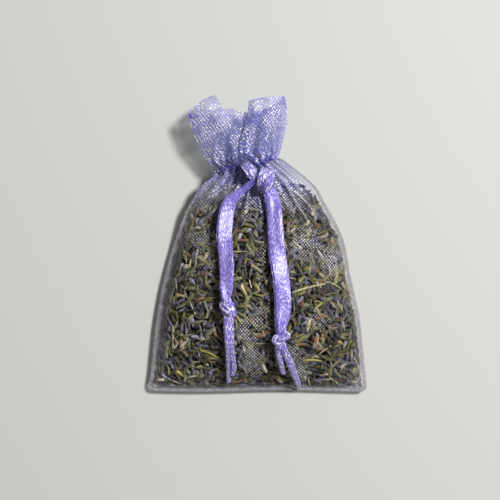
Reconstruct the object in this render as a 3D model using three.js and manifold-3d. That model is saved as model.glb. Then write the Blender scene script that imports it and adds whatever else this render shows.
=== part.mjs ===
// A lavender sachet: an organza drawstring pouch filled with dried lavender buds, lying on its back.
// Millimetres. +X is right, +Y runs from the bottom seam to the ruffle, +Z is up, out of the front cloth.
import * as THREE from "three";
import { mergeVertices } from "three/addons/utils/BufferGeometryUtils.js";
import Module from "manifold-3d";

const wasm = await Module();
wasm.setup();

// Driving dimensions of the pouch
const BAG_WIDTH = 72.6; // across the body just above the bottom corners
const SHOULDER_WIDTH = 60.6; // what the sides taper towards at the neck
const CORNER_EAR = 1.2; // how far each bottom corner stands out past the sides
const EAR_LENGTH = 5; // length over which an ear fades into the side
const BODY_LENGTH = 76.7; // bottom edge to the neck
const SHOULDER_ROUND = 2.8; // power of the shoulder curve: higher is squarer
const BODY_DEPTH = 17; // table to the crown of the front cloth
const SEAM_WIDTH = 1.2; // overlocked seam allowance
const SEAM_THICKNESS = 1;
const SEAM_HEIGHT = 4.5; // the side seams stand this high off the table
const CLOTH = 0.4; // a ply of organza, thickened to a workable wall
const GAP = 0.3; // clearance between neighbouring pieces
const BOTTOM_ROUND = 18; // length over which the cloth rises from the bottom seam
const FLAT_PRESS = 1.2; // how far the back cloth is pressed flat by the table
const RIM_POWER = 0.5; // how steeply the cloth rises from a seam: lower is steeper
const FRONT_FULLNESS = 2.4; // power of the section across the front: higher is flatter on top
const BACK_FULLNESS = 4;
const DIMPLE_PITCH = 8.3; // the cloth dips between the lumps of the fill this far apart
const DIMPLE_DEPTH = 1.1;

// Where the body's curves begin to change, as shares of the way from the bottom edge to the neck
const CROWN_FALLS = 0.5;
const SEAMS_RISE = 0.6;
const GATHERS_START = 0.62;
const BACK_LIFTS = 0.72;
const SHIFT_POWER = 16; // the neck's shift to the left fades within a few millimetres

// The gathered neck
const NECK_WIDTH = 21.4;
const NECK_DEPTH = 9;
const NECK_HEIGHT = 7; // centre of the neck above the table
const NECK_SHIFT = -3.3; // the neck sits a little to the left
const GATHERS = 9; // pleats across one panel at the neck
const GATHER_DEPTH = 0.9;
const CASING_LENGTH = 5;
const CORD_BAND = 2; // width of a drawcord bunched inside the casing
const CORD_THICKNESS = 0.9;

// The ruffle above the neck
const RUFFLE_LENGTH = 13; // hinge line to the middle of the mouth
const RUFFLE_TIP = 5; // how much higher the right tip stands
const RUFFLE_TIP_FROM = -0.2; // share of the half width where the mouth starts to rise to it
const RUFFLE_FLARE = 1.5; // height of the outer corners over the middle
const MOUTH_WIDTH = 33;
const MOUTH_SHIFT = -6.4;
const MOUTH_DEPTH = 7;
const PLEATS = 3; // open folds across the mouth
const PLEAT_DEPTH = 3.2;
const BASE_ANGLE = 50; // degrees round the neck where the ruffle leaves it

// The ribbon tie
const RIBBON_WIDTH = 5.6;
const RIBBON_THICKNESS = 0.4;
const STRAND_RADIUS = 0.95; // a ribbon bunched into the knot
const STRAND_CLEARANCE = 0.3; // between the two strands of the half knot
const TWIST_TURNS = 1.5; // turns of the strands about each other in a half knot
const TIE_DROP = 4.6; // centre of the half knot below the neck line
const TIE_X = 0.2;
const TIE_EXIT_REACH = 4.2; // each strand leaves the half knot this far beside its centre
const TIE_EXIT_DROP = 2.9; // and this far below it
const TIE_EXIT_SINK = 0.4; // and this far nearer the cloth
const TAIL_START_WIDTH = 2.2; // a tail is bunched where it leaves the tie
const TAIL_LIFT = 1.8; // height of the tails over the cloth where they leave the tie
const END_KNOT_RING = 1.5; // mean radius of the turn in an end knot
const END_KNOT_STRAND = 0.8; // radius of the ribbon bunched in that turn
const END_KNOT_LENGTH = 4.6;
const END_KNOT_FLATTEN = 0.7; // an end knot is flatter than it is wide
const END_KNOT_BREADTH = 1.6; // its inner strand is this much broader than deep
const END_KNOT_SLANT = 24; // degrees that the turn leans from square
const END_WIDTH = 1.7;
const END_TIP_WIDTH = 1.2;
const END_THICKNESS = 0.6;

// Where a ribbon changes, as shares of its length
const TAIL_OPENS = 0.3; // a tail has its full width from here
const TAIL_SETTLES = 0.35; // and lies on the cloth from here
const TAIL_CLOSES = 0.85; // and narrows again to its end knot from here
const END_SETTLES = 0.4; // a loose end lies on the cloth from here

// Paths of the ribbon, each point as x and the distance below the neck line
const LEFT_TAIL = [
  [-4.5, 8.2], [-7.1, 10.6], [-8.5, 12.1], [-9.6, 14.4], [-10.5, 19.2],
  [-10.8, 24.6], [-10.4, 29.7], [-10, 37.4], [-10.2, 42.4], [-10.3, 45.8],
];
const RIGHT_TAIL = [
  [3.9, 8.3], [4.7, 9.8], [5.5, 13.7], [6, 19.2], [6.3, 24.7], [6.9, 30.8],
  [7.9, 36.5], [8.5, 42.4], [8.7, 47.4], [8.4, 51.7], [7.9, 55.4],
];
// The loose ends start side by side under the end knot, then run through these points
const LEFT_SHORT_END = [[-8, 59], [-7.4, 64.6], [-6.9, 69.8]];
const LEFT_LONG_END = [[-10.3, 62], [-9.5, 73.2]];
const RIGHT_SHORT_END = [[8, 65.8], [9.7, 70.4]];
const RIGHT_LONG_END = [[11.2, 66.6], [13, 71.1], [14.6, 75]];

// The fill
const FILL_RIM = 1.6; // empty wedge of cloth beside the seams
const FILL_CLEARANCE = 1; // between the tallest buds and the crown of the cloth
const FILL_LENGTH = 69; // bottom edge to the top of the buds
const FILL_TOP_POWER = 7; // how squarely the top of the fill is rounded
const BUD_LENGTH = 5.2;
const BUD_RADIUS = 1;
const BUD_RISE = 1.5; // how far buds stand out of the packed mass
const BUD_SIDES = 5;
const BUD_COUNT = 74; // buds fused into the packed mass
const BUD_SPREAD = 0.88; // they lie within this share of the packed mass's half width
const BUD_BOTTOM_MARGIN = 4; // and this far from its bottom
const BUD_TOP_MARGIN = 7; // and from its top
// A bud's section from its foot to its tip: radius and place along it, as shares of its half sizes
const BUD_PROFILE = [[0, -1], [0.75, -0.6], [1, 0.35], [0, 1]];
const STEM_RADIUS = 0.45;
// Loose stems, each from one end to the other as x and height above the bottom edge
const STEMS = [
  [[11.6, 33.4], [22.9, 36.5]],
  [[-19.2, 14.3], [-11.8, 11]],
  [[15.7, 10.7], [21.5, 10.6]],
  [[-28.4, 13.5], [-28.6, 22.7]],
  [[-6.7, 27], [-0.1, 22]],
  [[24.2, 7], [28, 10.6]],
];
// Loose buds, each as x, height above the bottom edge and angle in degrees
const LOOSE_BUDS = [
  [-15.8, 20, 35],
  [19.7, 16, 100],
  [-3.7, 30, 80],
  [1.6, 19.4, 20],
  [-17.5, 43.9, 150],
  [14.5, 51.3, 70],
  [21.1, 25.1, 10],
  [-22.6, 31.1, 60],
  [-2.4, 47.8, 120],
  [14.3, 21, 160],
];

// Sizes that follow from those above
const RUFFLE_TOP = RUFFLE_LENGTH + RUFFLE_TIP + RUFFLE_FLARE;
const HINGE_ABOVE_NECK = GAP + CASING_LENGTH + GAP;
const LENGTH = BODY_LENGTH + HINGE_ABOVE_NECK + RUFFLE_TOP;
const CORE_WIDTH = NECK_WIDTH / 2 - CLOTH - CORD_THICKNESS - 2 * GAP;
const CORE_DEPTH = NECK_DEPTH / 2 - CLOTH - CORD_THICKNESS - 2 * GAP;
const PANEL_START = SEAM_WIDTH + GAP;

// Materials: the cloth is sheer, so the fill shows through it
const organza = new THREE.MeshStandardMaterial({
  color: 0xb4b2da,
  roughness: 0.5,
  transparent: true,
  opacity: 0.35,
  side: THREE.DoubleSide,
});
const seamCloth = new THREE.MeshStandardMaterial({
  color: 0x8f8ba6,
  roughness: 0.7,
  transparent: true,
  opacity: 0.8,
});
const ribbon = new THREE.MeshStandardMaterial({ color: 0x9388d6, roughness: 0.35 });
const lavender = new THREE.MeshStandardMaterial({ color: 0x5b5a66, roughness: 0.9 });
const looseBud = new THREE.MeshStandardMaterial({ color: 0x6d6a86, roughness: 0.9 });
const strawStem = new THREE.MeshStandardMaterial({ color: 0xa79f62, roughness: 0.8 });

// Small helpers
const clamp = THREE.MathUtils.clamp;
const lerp = THREE.MathUtils.lerp;
const smooth = (value, from, to) => THREE.MathUtils.smoothstep(value, from, to);
const along = (t) => t - LENGTH / 2; // height above the bottom edge, as a Y coordinate
const steps = (count) => Array.from({ length: count + 1 }, (_, i) => i / count);
// Numbers from 0 to 1 that spread evenly without repeating, so that a scatter is the same every time
const spread = (index, stride) => (0.5 + index * stride) % 1;
const GOLDEN = 0.618034;
const PLASTIC_1 = 0.754878;
const PLASTIC_2 = 0.56984;

// A closed geometry from points and faces, turned so that its faces point out
function closedGeometry(points, faces) {
  let volume = 0;
  for (const [a, b, c] of faces) {
    volume += points[a].dot(new THREE.Vector3().crossVectors(points[b], points[c])) / 6;
  }
  const geometry = new THREE.BufferGeometry().setFromPoints(points);
  geometry.setIndex(faces.flatMap(([a, b, c]) => (volume < 0 ? [a, c, b] : [a, b, c])));
  geometry.computeVertexNormals();
  return geometry;
}

// A solid through a row of closed rings, with its two ends capped
function loft(rings) {
  const size = rings[0].length;
  const points = rings.flat();
  const faces = [];
  for (let i = 0; i + 1 < rings.length; i++) {
    for (let j = 0; j < size; j++) {
      const next = (j + 1) % size;
      const low = i * size;
      const high = low + size;
      faces.push([low + j, low + next, high + next], [low + j, high + next, high + j]);
    }
  }
  const middle = (ring) => ring.reduce((sum, p) => sum.add(p), new THREE.Vector3()).divideScalar(size);
  const start = points.push(middle(rings[0])) - 1;
  const end = points.push(middle(rings.at(-1))) - 1;
  const last = (rings.length - 1) * size;
  for (let j = 0; j < size; j++) {
    const next = (j + 1) % size;
    faces.push([start, next, j], [end, last + j, last + next]);
  }
  return closedGeometry(points, faces);
}

// A sheet with thickness: the grid is its outer face, the wall lies on the side away from the outward vector
function sheet(grid, thickness, outward) {
  const rows = grid.length;
  const columns = grid[0].length;
  const at = (i, j) => grid[clamp(i, 0, rows - 1)][clamp(j, 0, columns - 1)];
  const points = grid.flat();
  const inner = rows * columns;
  for (let i = 0; i < rows; i++) {
    for (let j = 0; j < columns; j++) {
      const down = new THREE.Vector3().subVectors(at(i + 1, j), at(i - 1, j));
      const across = new THREE.Vector3().subVectors(at(i, j + 1), at(i, j - 1));
      const normal = down.cross(across).normalize();
      if (normal.dot(outward) < 0) normal.negate();
      points.push(grid[i][j].clone().addScaledVector(normal, -thickness));
    }
  }
  const faces = [];
  const quad = (a, b, c, d) => faces.push([a, b, c], [a, c, d]);
  for (let i = 0; i + 1 < rows; i++) {
    for (let j = 0; j + 1 < columns; j++) {
      const a = i * columns + j;
      quad(a, a + 1, a + columns + 1, a + columns);
      quad(inner + a, inner + a + columns, inner + a + columns + 1, inner + a + 1);
    }
  }
  const rim = [];
  for (let j = 0; j < columns - 1; j++) rim.push(j);
  for (let i = 0; i < rows - 1; i++) rim.push(i * columns + columns - 1);
  for (let j = columns - 1; j > 0; j--) rim.push((rows - 1) * columns + j);
  for (let i = rows - 1; i > 0; i--) rim.push(i * columns);
  rim.forEach((a, k) => {
    const b = rim[(k + 1) % rim.length];
    quad(a, inner + a, inner + b, b);
  });
  return closedGeometry(points, faces);
}

// A tube of round section along a smooth curve through some points
function tube(points, radius, pieces, sides) {
  const outline = new THREE.Shape();
  outline.absarc(0, 0, radius, 0, 2 * Math.PI, false);
  return new THREE.ExtrudeGeometry(outline, {
    steps: pieces,
    curveSegments: sides / 2, // a full circle counts each segment twice
    extrudePath: new THREE.CatmullRomCurve3(points),
    bevelEnabled: false,
  });
}

// A solid for joining and cutting, from a closed geometry
function solidOf(geometry) {
  const bare = new THREE.BufferGeometry().setAttribute("position", geometry.getAttribute("position"));
  if (geometry.index) bare.setIndex(geometry.index);
  const merged = mergeVertices(bare, 1e-3);
  return new wasm.Manifold(
    new wasm.Mesh({
      numProp: 3,
      vertProperties: new Float32Array(merged.attributes.position.array),
      triVerts: new Uint32Array(merged.index.array),
    }),
  );
}

function geometryOf(solid) {
  const mesh = solid.getMesh();
  const geometry = new THREE.BufferGeometry();
  geometry.setAttribute("position", new THREE.BufferAttribute(new Float32Array(mesh.vertProperties), 3));
  geometry.setIndex(new THREE.BufferAttribute(new Uint32Array(mesh.triVerts), 1));
  geometry.computeVertexNormals();
  return geometry;
}

const sachet = new THREE.Group();
sachet.name = "lavender_sachet";

function piece(name, geometry, material) {
  const mesh = new THREE.Mesh(geometry, material);
  mesh.name = name;
  sachet.add(mesh);
  return mesh;
}

// Shape of the pouch: half width, centre line and heights at a distance t above the bottom edge
function halfWidth(t) {
  const share = bodyShare(t);
  const neck = NECK_WIDTH / 2;
  const ear = CORNER_EAR * Math.exp(-Math.max(t, 0) / EAR_LENGTH);
  const side = lerp(BAG_WIDTH, SHOULDER_WIDTH, share) / 2 + ear;
  return neck + (side - neck) * Math.sqrt(1 - share ** SHOULDER_ROUND);
}

const bodyShare = (t) => clamp(t / BODY_LENGTH, 0, 1);
const centreLine = (t) => NECK_SHIFT * bodyShare(t) ** SHIFT_POWER;
const panelHalf = (t) => halfWidth(t) - SEAM_WIDTH - GAP;
const seamHeight = (t) => lerp(SEAM_HEIGHT, NECK_HEIGHT, smooth(bodyShare(t), SEAMS_RISE, 1));
const crown = (t) => lerp(BODY_DEPTH, NECK_HEIGHT + NECK_DEPTH / 2, smooth(bodyShare(t), CROWN_FALLS, 1));
const hollow = (t) => lerp(-FLAT_PRESS, NECK_HEIGHT - NECK_DEPTH / 2, smooth(bodyShare(t), BACK_LIFTS, 1));
const gathering = (t) => smooth(bodyShare(t), GATHERS_START, 1);
const acrossProfile = (u, fullness) => (1 - Math.min(Math.abs(u), 1) ** fullness) ** RIM_POWER;
const riseFrom = (t, start) => (1 - (1 - clamp((t - start) / BOTTOM_ROUND, 0, 1)) ** 2) ** RIM_POWER;
const gatherFold = (u) => (1 - Math.cos(Math.PI * GATHERS * u)) / 2;

// Height of the front cloth, with its gathers and dimples and as the plain envelope over them
function frontEnvelope(u, t) {
  const foot = seamHeight(t) + GAP / 2 + CLOTH;
  return foot + (crown(t) - foot) * acrossProfile(u, FRONT_FULLNESS) * riseFrom(t, PANEL_START);
}

// How far the cloth dips between lumps of fill: two slanting waves that cross, strongest inside the seams
function dimple(u, t) {
  const wave = (2 * Math.PI) / DIMPLE_PITCH;
  const x = u * panelHalf(t);
  const lumps = Math.sin(wave * (x + t / 2)) * Math.sin(wave * (t - x / 2));
  const inside = acrossProfile(u, BACK_FULLNESS) * riseFrom(t, PANEL_START) * (1 - gathering(t));
  return DIMPLE_DEPTH * inside * (0.5 + lumps / 2);
}

function frontHeight(u, t) {
  const gather = GATHER_DEPTH * gathering(t) * gatherFold(u) * acrossProfile(u, BACK_FULLNESS);
  return frontEnvelope(u, t) - gather - dimple(u, t);
}

function backHeight(u, t) {
  const foot = seamHeight(t) - GAP / 2 - CLOTH;
  const plain = foot + (hollow(t) - foot) * acrossProfile(u, BACK_FULLNESS) * riseFrom(t, PANEL_START);
  const gather = GATHER_DEPTH * gathering(t) * gatherFold(u) * acrossProfile(u, BACK_FULLNESS);
  return Math.max(0, plain + gather);
}

// Points across a panel crowd towards its sides, and rows crowd towards the neck, where the outline turns
const PANEL_COLUMNS = 24;
const FRONT_ROWS = 20;
const BACK_ROWS = 12;
const ROW_CROWDING = 1.6;
const columnsOf = (count) => steps(count).map((s) => Math.sin((s - 0.5) * Math.PI));
const rowsOf = (count, from, to) => steps(count).map((s) => lerp(from, to, 1 - (1 - s) ** ROW_CROWDING));

function panel(name, rows, height, outward) {
  const grid = rowsOf(rows, PANEL_START, BODY_LENGTH).map((t) =>
    columnsOf(PANEL_COLUMNS).map(
      (u) => new THREE.Vector3(centreLine(t) + u * panelHalf(t), along(t), height(u, t)),
    ),
  );
  piece(name, sheet(grid, CLOTH, outward), organza);
}

panel("front_panel", FRONT_ROWS, frontHeight, new THREE.Vector3(0, 0, 1));
panel("back_panel", BACK_ROWS, backHeight, new THREE.Vector3(0, 0, -1));

// Seam allowances: flat overlocked edges along both sides and the bottom
const SEAM_ROWS = 18;
for (const [name, side] of [["left_side_seam", -1], ["right_side_seam", 1]]) {
  const rings = rowsOf(SEAM_ROWS, 0, BODY_LENGTH).map((t) => {
    const outer = halfWidth(t);
    const inner = outer - SEAM_WIDTH;
    const edge = outer - SEAM_THICKNESS / 2;
    const corners = [[inner, -1], [edge, -1], [outer, 0], [edge, 1], [inner, 1]];
    return corners.map(
      ([x, level]) =>
        new THREE.Vector3(centreLine(t) + side * x, along(t), seamHeight(t) + (level * SEAM_THICKNESS) / 2),
    );
  });
  piece(name, loft(rings), seamCloth);
}

const bottomHalf = halfWidth(SEAM_WIDTH) - SEAM_WIDTH - GAP;
const BOTTOM_SEAM_PIECES = 10;
const bottomRings = steps(BOTTOM_SEAM_PIECES).map((s) => {
  const x = lerp(-bottomHalf, bottomHalf, s);
  const low = SEAM_HEIGHT - SEAM_THICKNESS / 2;
  const high = SEAM_HEIGHT + SEAM_THICKNESS / 2;
  const edge = SEAM_THICKNESS / 2;
  const corners = [[SEAM_WIDTH, low], [edge, low], [0, SEAM_HEIGHT], [edge, high], [SEAM_WIDTH, high]];
  return corners.map(([t, z]) => new THREE.Vector3(x, along(t), z));
});
piece("bottom_seam", loft(bottomRings), seamCloth);

// The gathered neck: a pleated bundle with a rounded top, on which the ruffle turns
const NECK_SIDES = 30;
const NECK_FLUTES = 10;
const FLUTE_DEPTH = 0.3;
const hingeY = along(BODY_LENGTH + HINGE_ABOVE_NECK);
const neckRing = (halfX, halfZ, y, flute) =>
  Array.from({ length: NECK_SIDES }, (_, k) => {
    const angle = (2 * Math.PI * k) / NECK_SIDES;
    const pull = (flute * (1 - Math.cos(NECK_FLUTES * angle))) / 2;
    return new THREE.Vector3(
      NECK_SHIFT + (halfX - pull) * Math.cos(angle),
      y,
      NECK_HEIGHT + (halfZ - pull) * Math.sin(angle),
    );
  });

const DOME_ANGLES = [20, 40, 58, 74]; // degrees of the rings that round its top
const gatherRings = [along(BODY_LENGTH + GAP), hingeY].map((y) =>
  neckRing(CORE_WIDTH, CORE_DEPTH, y, FLUTE_DEPTH),
);
for (const turn of DOME_ANGLES) {
  const angle = THREE.MathUtils.degToRad(turn);
  const share = Math.cos(angle);
  const y = hingeY + CORE_DEPTH * Math.sin(angle);
  const halfX = CORE_WIDTH - CORE_DEPTH * (1 - share);
  gatherRings.push(neckRing(halfX, CORE_DEPTH * share, y, FLUTE_DEPTH * share));
}
piece("neck_gather", loft(gatherRings), organza);

// A closed band round the neck, between two sizes of ellipse
function neckBand(inset, thickness, from, to) {
  const outer = [];
  const inner = [];
  for (const y of [from, to]) {
    outer.push(neckRing(NECK_WIDTH / 2 - inset, NECK_DEPTH / 2 - inset, y, 0));
    inner.push(neckRing(NECK_WIDTH / 2 - inset - thickness, NECK_DEPTH / 2 - inset - thickness, y, 0));
  }
  const points = [...outer.flat(), ...inner.flat()];
  const faces = [];
  const quad = (a, b, c, d) => faces.push([a, b, c], [a, c, d]);
  for (let k = 0; k < NECK_SIDES; k++) {
    const n = (k + 1) % NECK_SIDES;
    const top = NECK_SIDES;
    const hole = 2 * NECK_SIDES;
    quad(k, n, top + n, top + k);
    quad(hole + k, hole + top + k, hole + top + n, hole + n);
    quad(k, hole + k, hole + n, n);
    quad(top + k, top + n, hole + top + n, hole + top + k);
  }
  return closedGeometry(points, faces);
}

// Two drawcords run round the neck side by side, inside the casing ply
const cordInset = CLOTH + GAP;
const cordMargin = (CASING_LENGTH - 2 * CORD_BAND - GAP) / 2;
const casingFrom = along(BODY_LENGTH + GAP);
for (const [name, place] of [["left_drawcord_loop", 0], ["right_drawcord_loop", 1]]) {
  const from = casingFrom + cordMargin + place * (CORD_BAND + GAP);
  piece(name, neckBand(cordInset, CORD_THICKNESS, from, from + CORD_BAND), ribbon);
}

// The casing ply is open in front, where the cords come out to the tie
const SLOT_HALF = 3.4;
const slotWidth = 2 * (SLOT_HALF + STRAND_RADIUS + GAP);
const slot = new THREE.BoxGeometry(slotWidth, 2 * CASING_LENGTH, NECK_DEPTH);
slot.translate(NECK_SHIFT, casingFrom + CASING_LENGTH / 2, NECK_HEIGHT + NECK_DEPTH / 2);
const casing = solidOf(neckBand(0, CLOTH, casingFrom, casingFrom + CASING_LENGTH)).subtract(solidOf(slot));
piece("casing_ply", geometryOf(casing), organza);

// The ruffle: front and back cloth above the neck, joined at their sides and open at the mouth
const RUFFLE_COLUMNS = 20;
const RUFFLE_ROWS = 7;
const ruffleRadius = CORE_DEPTH + GAP + CLOTH;
const sideDepth = GAP / 2 + CLOTH;
function ruffleGrid(front) {
  const least = Math.asin(sideDepth / ruffleRadius);
  const most = THREE.MathUtils.degToRad(BASE_ANGLE);
  return steps(RUFFLE_ROWS).map((w) =>
    steps(RUFFLE_COLUMNS).map((s) => {
      const u = 2 * s - 1;
      const inside = Math.sqrt(Math.max(0, 1 - u * u));
      const angle = lerp(least, most, inside);
      const fold = (1 + Math.cos(Math.PI * (PLEATS * u + (front ? 0 : 1)))) / 2;
      const baseY = ruffleRadius * Math.cos(angle);
      const baseZ = ruffleRadius * Math.sin(angle);
      const mouthY = RUFFLE_LENGTH + RUFFLE_TIP * smooth(u, RUFFLE_TIP_FROM, 1) + RUFFLE_FLARE * u * u;
      const mouthZ = sideDepth + ((MOUTH_DEPTH / 2) * inside + PLEAT_DEPTH * fold) * inside;
      const depth = lerp(baseZ, mouthZ, w);
      return new THREE.Vector3(
        lerp(NECK_SHIFT + u * CORE_WIDTH, MOUTH_SHIFT + (u * MOUTH_WIDTH) / 2, w),
        hingeY + lerp(baseY, mouthY, w),
        NECK_HEIGHT + (front ? depth : -depth),
      );
    }),
  );
}

piece("ruffle_front", sheet(ruffleGrid(true), CLOTH, new THREE.Vector3(0, 0, 1)), organza);
piece("ruffle_back", sheet(ruffleGrid(false), CLOTH, new THREE.Vector3(0, 0, -1)), organza);

// Where a ribbon lies: a point over the front cloth at x and a distance below the neck line
function overCloth(x, drop, lift) {
  const t = BODY_LENGTH - drop;
  const u = (x - centreLine(t)) / panelHalf(t);
  return new THREE.Vector3(x, along(t), frontEnvelope(u, t) + GAP + lift);
}

// The tie: two strands twisted round each other by one and a half turns, which is a half knot.
// Strands of a twist whose lead is 4.27 times its radius come within 1.73 radii of each other.
const TWIST_LEAD = 4.27;
const TWIST_APART = 1.73;
const TWIST_PIECES = 18;
const STRAND_PIECES = 34;
const STRAND_SIDES = 8;
const twistRadius = (2 * STRAND_RADIUS + STRAND_CLEARANCE) / TWIST_APART;
const twistLength = TWIST_TURNS * TWIST_LEAD * twistRadius;
const tieCentre = overCloth(TIE_X, TIE_DROP, twistRadius + STRAND_RADIUS + RIBBON_THICKNESS);
for (const [name, side] of [["tie_strand_left", -1], ["tie_strand_right", 1]]) {
  const points = [];
  points.push(
    new THREE.Vector3(
      NECK_SHIFT + side * SLOT_HALF,
      casingFrom + CASING_LENGTH / 2,
      NECK_HEIGHT + CORE_DEPTH + GAP + CORD_THICKNESS + GAP + STRAND_RADIUS,
    ),
  );
  for (const s of steps(TWIST_PIECES)) {
    const fromLeft = side < 0 ? s : 1 - s;
    const angle = 2 * Math.PI * TWIST_TURNS * fromLeft + (side < 0 ? 0 : Math.PI);
    points.push(
      new THREE.Vector3(
        tieCentre.x + twistLength * (fromLeft - 0.5),
        tieCentre.y + twistRadius * Math.cos(angle),
        tieCentre.z + twistRadius * Math.sin(angle),
      ),
    );
  }
  const exit = new THREE.Vector3(-side * TIE_EXIT_REACH, -TIE_EXIT_DROP, -TIE_EXIT_SINK);
  points.push(exit.add(tieCentre));
  piece(name, tube(points, STRAND_RADIUS, STRAND_PIECES, STRAND_SIDES), ribbon);
}

// A strip of ribbon over the cloth: width and lift may change along it
const LOOK_AHEAD = 0.02; // share of a ribbon's length over which its direction is taken
const LOOK_ASIDE = RIBBON_WIDTH / 5; // distance to each side over which the cloth's slope is taken
function strip(path, widthAt, liftAt, thickness, pieces) {
  const line = new THREE.CatmullRomCurve3(path.map(([x, drop]) => new THREE.Vector3(x, drop, 0)));
  const middle = (s) => {
    const share = clamp(s, 0, 1);
    const flat = line.getPointAt(share);
    return overCloth(flat.x, flat.y, liftAt(share));
  };
  const rings = steps(pieces).map((s) => {
    const here = middle(s);
    const forward = new THREE.Vector3().subVectors(middle(s + LOOK_AHEAD), middle(s - LOOK_AHEAD));
    const drop = BODY_LENGTH - here.y - LENGTH / 2;
    const left = overCloth(here.x - LOOK_ASIDE, drop, 0);
    const right = overCloth(here.x + LOOK_ASIDE, drop, 0);
    const sideways = new THREE.Vector3().subVectors(right, left);
    const up = new THREE.Vector3().crossVectors(sideways, forward).normalize();
    if (up.z < 0) up.negate();
    sideways.crossVectors(forward, up).normalize();
    const half = widthAt(s) / 2;
    return [[-1, 0], [1, 0], [1, 1], [-1, 1]].map(([across, rise]) =>
      here.clone().addScaledVector(sideways, across * half).addScaledVector(up, rise * thickness),
    );
  });
  return loft(rings);
}

const KNOT_SIDES = 10;
const KNOT_PIECES = 14;
// An end knot: one turn of ribbon round the strand it is tied in, made along +Y about its own middle
function endKnot() {
  const strand = new THREE.CylinderGeometry(END_KNOT_STRAND, END_KNOT_STRAND, END_KNOT_LENGTH, KNOT_SIDES);
  strand.scale(END_KNOT_BREADTH, 1, 1);
  const turn = new THREE.TorusGeometry(END_KNOT_RING, END_KNOT_STRAND, STRAND_SIDES, KNOT_PIECES);
  turn.rotateX(Math.PI / 2);
  turn.rotateZ(THREE.MathUtils.degToRad(END_KNOT_SLANT));
  const both = geometryOf(solidOf(strand).add(solidOf(turn)));
  both.scale(1, 1, END_KNOT_FLATTEN);
  return both;
}

// A tail: two plies of ribbon from the tie to an end knot, then two loose ends
const TAIL_PIECES = 18;
const END_PIECES = 10;
function tail(name, path, shortEnd, longEnd, shortSide) {
  const open = (s) => smooth(s, 0, TAIL_OPENS) * (1 - smooth(s, TAIL_CLOSES, 1));
  const widthAt = (s) => lerp(TAIL_START_WIDTH, RIBBON_WIDTH, open(s));
  const settle = (s) => TAIL_LIFT * (1 - smooth(s, 0, TAIL_SETTLES));
  const plyStep = RIBBON_THICKNESS + GAP;
  const ply = (lift) => strip(path, widthAt, (s) => settle(s) + lift, RIBBON_THICKNESS, TAIL_PIECES);
  piece(name + "_tail_lower_ply", ply(0), ribbon);
  piece(name + "_tail_upper_ply", ply(plyStep), ribbon);

  const [x, drop] = path.at(-1);
  const [beforeX, beforeDrop] = path.at(-2);
  const heading = new THREE.Vector2(x - beforeX, drop - beforeDrop).normalize();
  const reach = GAP + END_KNOT_LENGTH / 2;
  const knotX = x + heading.x * reach;
  const knotDrop = drop + heading.y * reach;
  const knotRise = (END_KNOT_RING + END_KNOT_STRAND) * END_KNOT_FLATTEN;
  const above = overCloth(knotX, knotDrop - reach, 0);
  const below = overCloth(knotX, knotDrop + reach, 0);
  const knot = piece(name + "_tail_knot", endKnot(), ribbon);
  knot.position.copy(overCloth(knotX, knotDrop, knotRise));
  knot.rotation.set(Math.atan2(above.z - below.z, above.y - below.y), 0, Math.atan2(heading.x, heading.y));

  const endWidth = (s) => lerp(END_WIDTH, END_TIP_WIDTH, s);
  const settleEnd = (s) => (knotRise / 2) * (1 - smooth(s, 0, END_SETTLES));
  const outside = END_WIDTH / 2 + GAP;
  const start = new THREE.Vector2(knotX, knotDrop).addScaledVector(heading, reach + GAP);
  const loose = (where, side) => {
    const first = [start.x + side * outside * heading.y, start.y - side * outside * heading.x];
    return strip([first, ...where], endWidth, settleEnd, END_THICKNESS, END_PIECES);
  };
  piece(name + "_short_end", loose(shortEnd, shortSide), ribbon);
  piece(name + "_long_end", loose(longEnd, -shortSide), ribbon);
}

tail("left", LEFT_TAIL, LEFT_SHORT_END, LEFT_LONG_END, 1);
tail("right", RIGHT_TAIL, RIGHT_SHORT_END, RIGHT_LONG_END, -1);

// The fill: a packed mass under the front cloth with buds standing out of it
const fillStart = PANEL_START + FILL_RIM;
const fillHalf = (t) => panelHalf(t) - FILL_RIM;
function fillEnds(t) {
  const share = clamp((t - fillStart) / (FILL_LENGTH - fillStart), 0, 1);
  return riseFrom(t, fillStart) * Math.sqrt(1 - share ** FILL_TOP_POWER);
}

function fillFront(u, t) {
  const foot = seamHeight(t);
  const top = crown(t) - CLOTH - FILL_CLEARANCE - BUD_RISE - GATHER_DEPTH * gathering(t);
  return foot + (top - foot) * acrossProfile(u, FRONT_FULLNESS) * fillEnds(t) - dimple(u, t);
}

function fillBack(u, t) {
  const foot = seamHeight(t);
  const floor = Math.max(hollow(t) + GATHER_DEPTH * gathering(t), 0) + CLOTH + GAP;
  return foot + (floor - foot) * acrossProfile(u, BACK_FULLNESS) * fillEnds(t);
}

const FILL_COLUMNS = 16;
const FILL_ROWS = 15;
const FILL_END = 0.4; // the loft stops this short of the mass's very ends, where it closes to a line
const fillRings = rowsOf(FILL_ROWS, fillStart + FILL_END, FILL_LENGTH - FILL_END).map((t) => {
  const over = columnsOf(FILL_COLUMNS);
  const under = over.slice(1, -1).reverse();
  const at = (u, height) => new THREE.Vector3(centreLine(t) + u * fillHalf(t), along(t), height(u, t));
  return [...over.map((u) => at(u, fillFront)), ...under.map((u) => at(u, fillBack))];
});

// A point on the packed mass at x and height t above the bottom edge, with the way the surface faces
function onFill(x, t) {
  const height = (px, pt) => fillFront((px - centreLine(pt)) / fillHalf(pt), pt);
  const d = BUD_RADIUS / 2;
  const normal = new THREE.Vector3(
    (height(x - d, t) - height(x + d, t)) / (2 * d),
    (height(x, t - d) - height(x, t + d)) / (2 * d),
    1,
  ).normalize();
  return { point: new THREE.Vector3(x, along(t), height(x, t)), normal };
}

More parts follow.
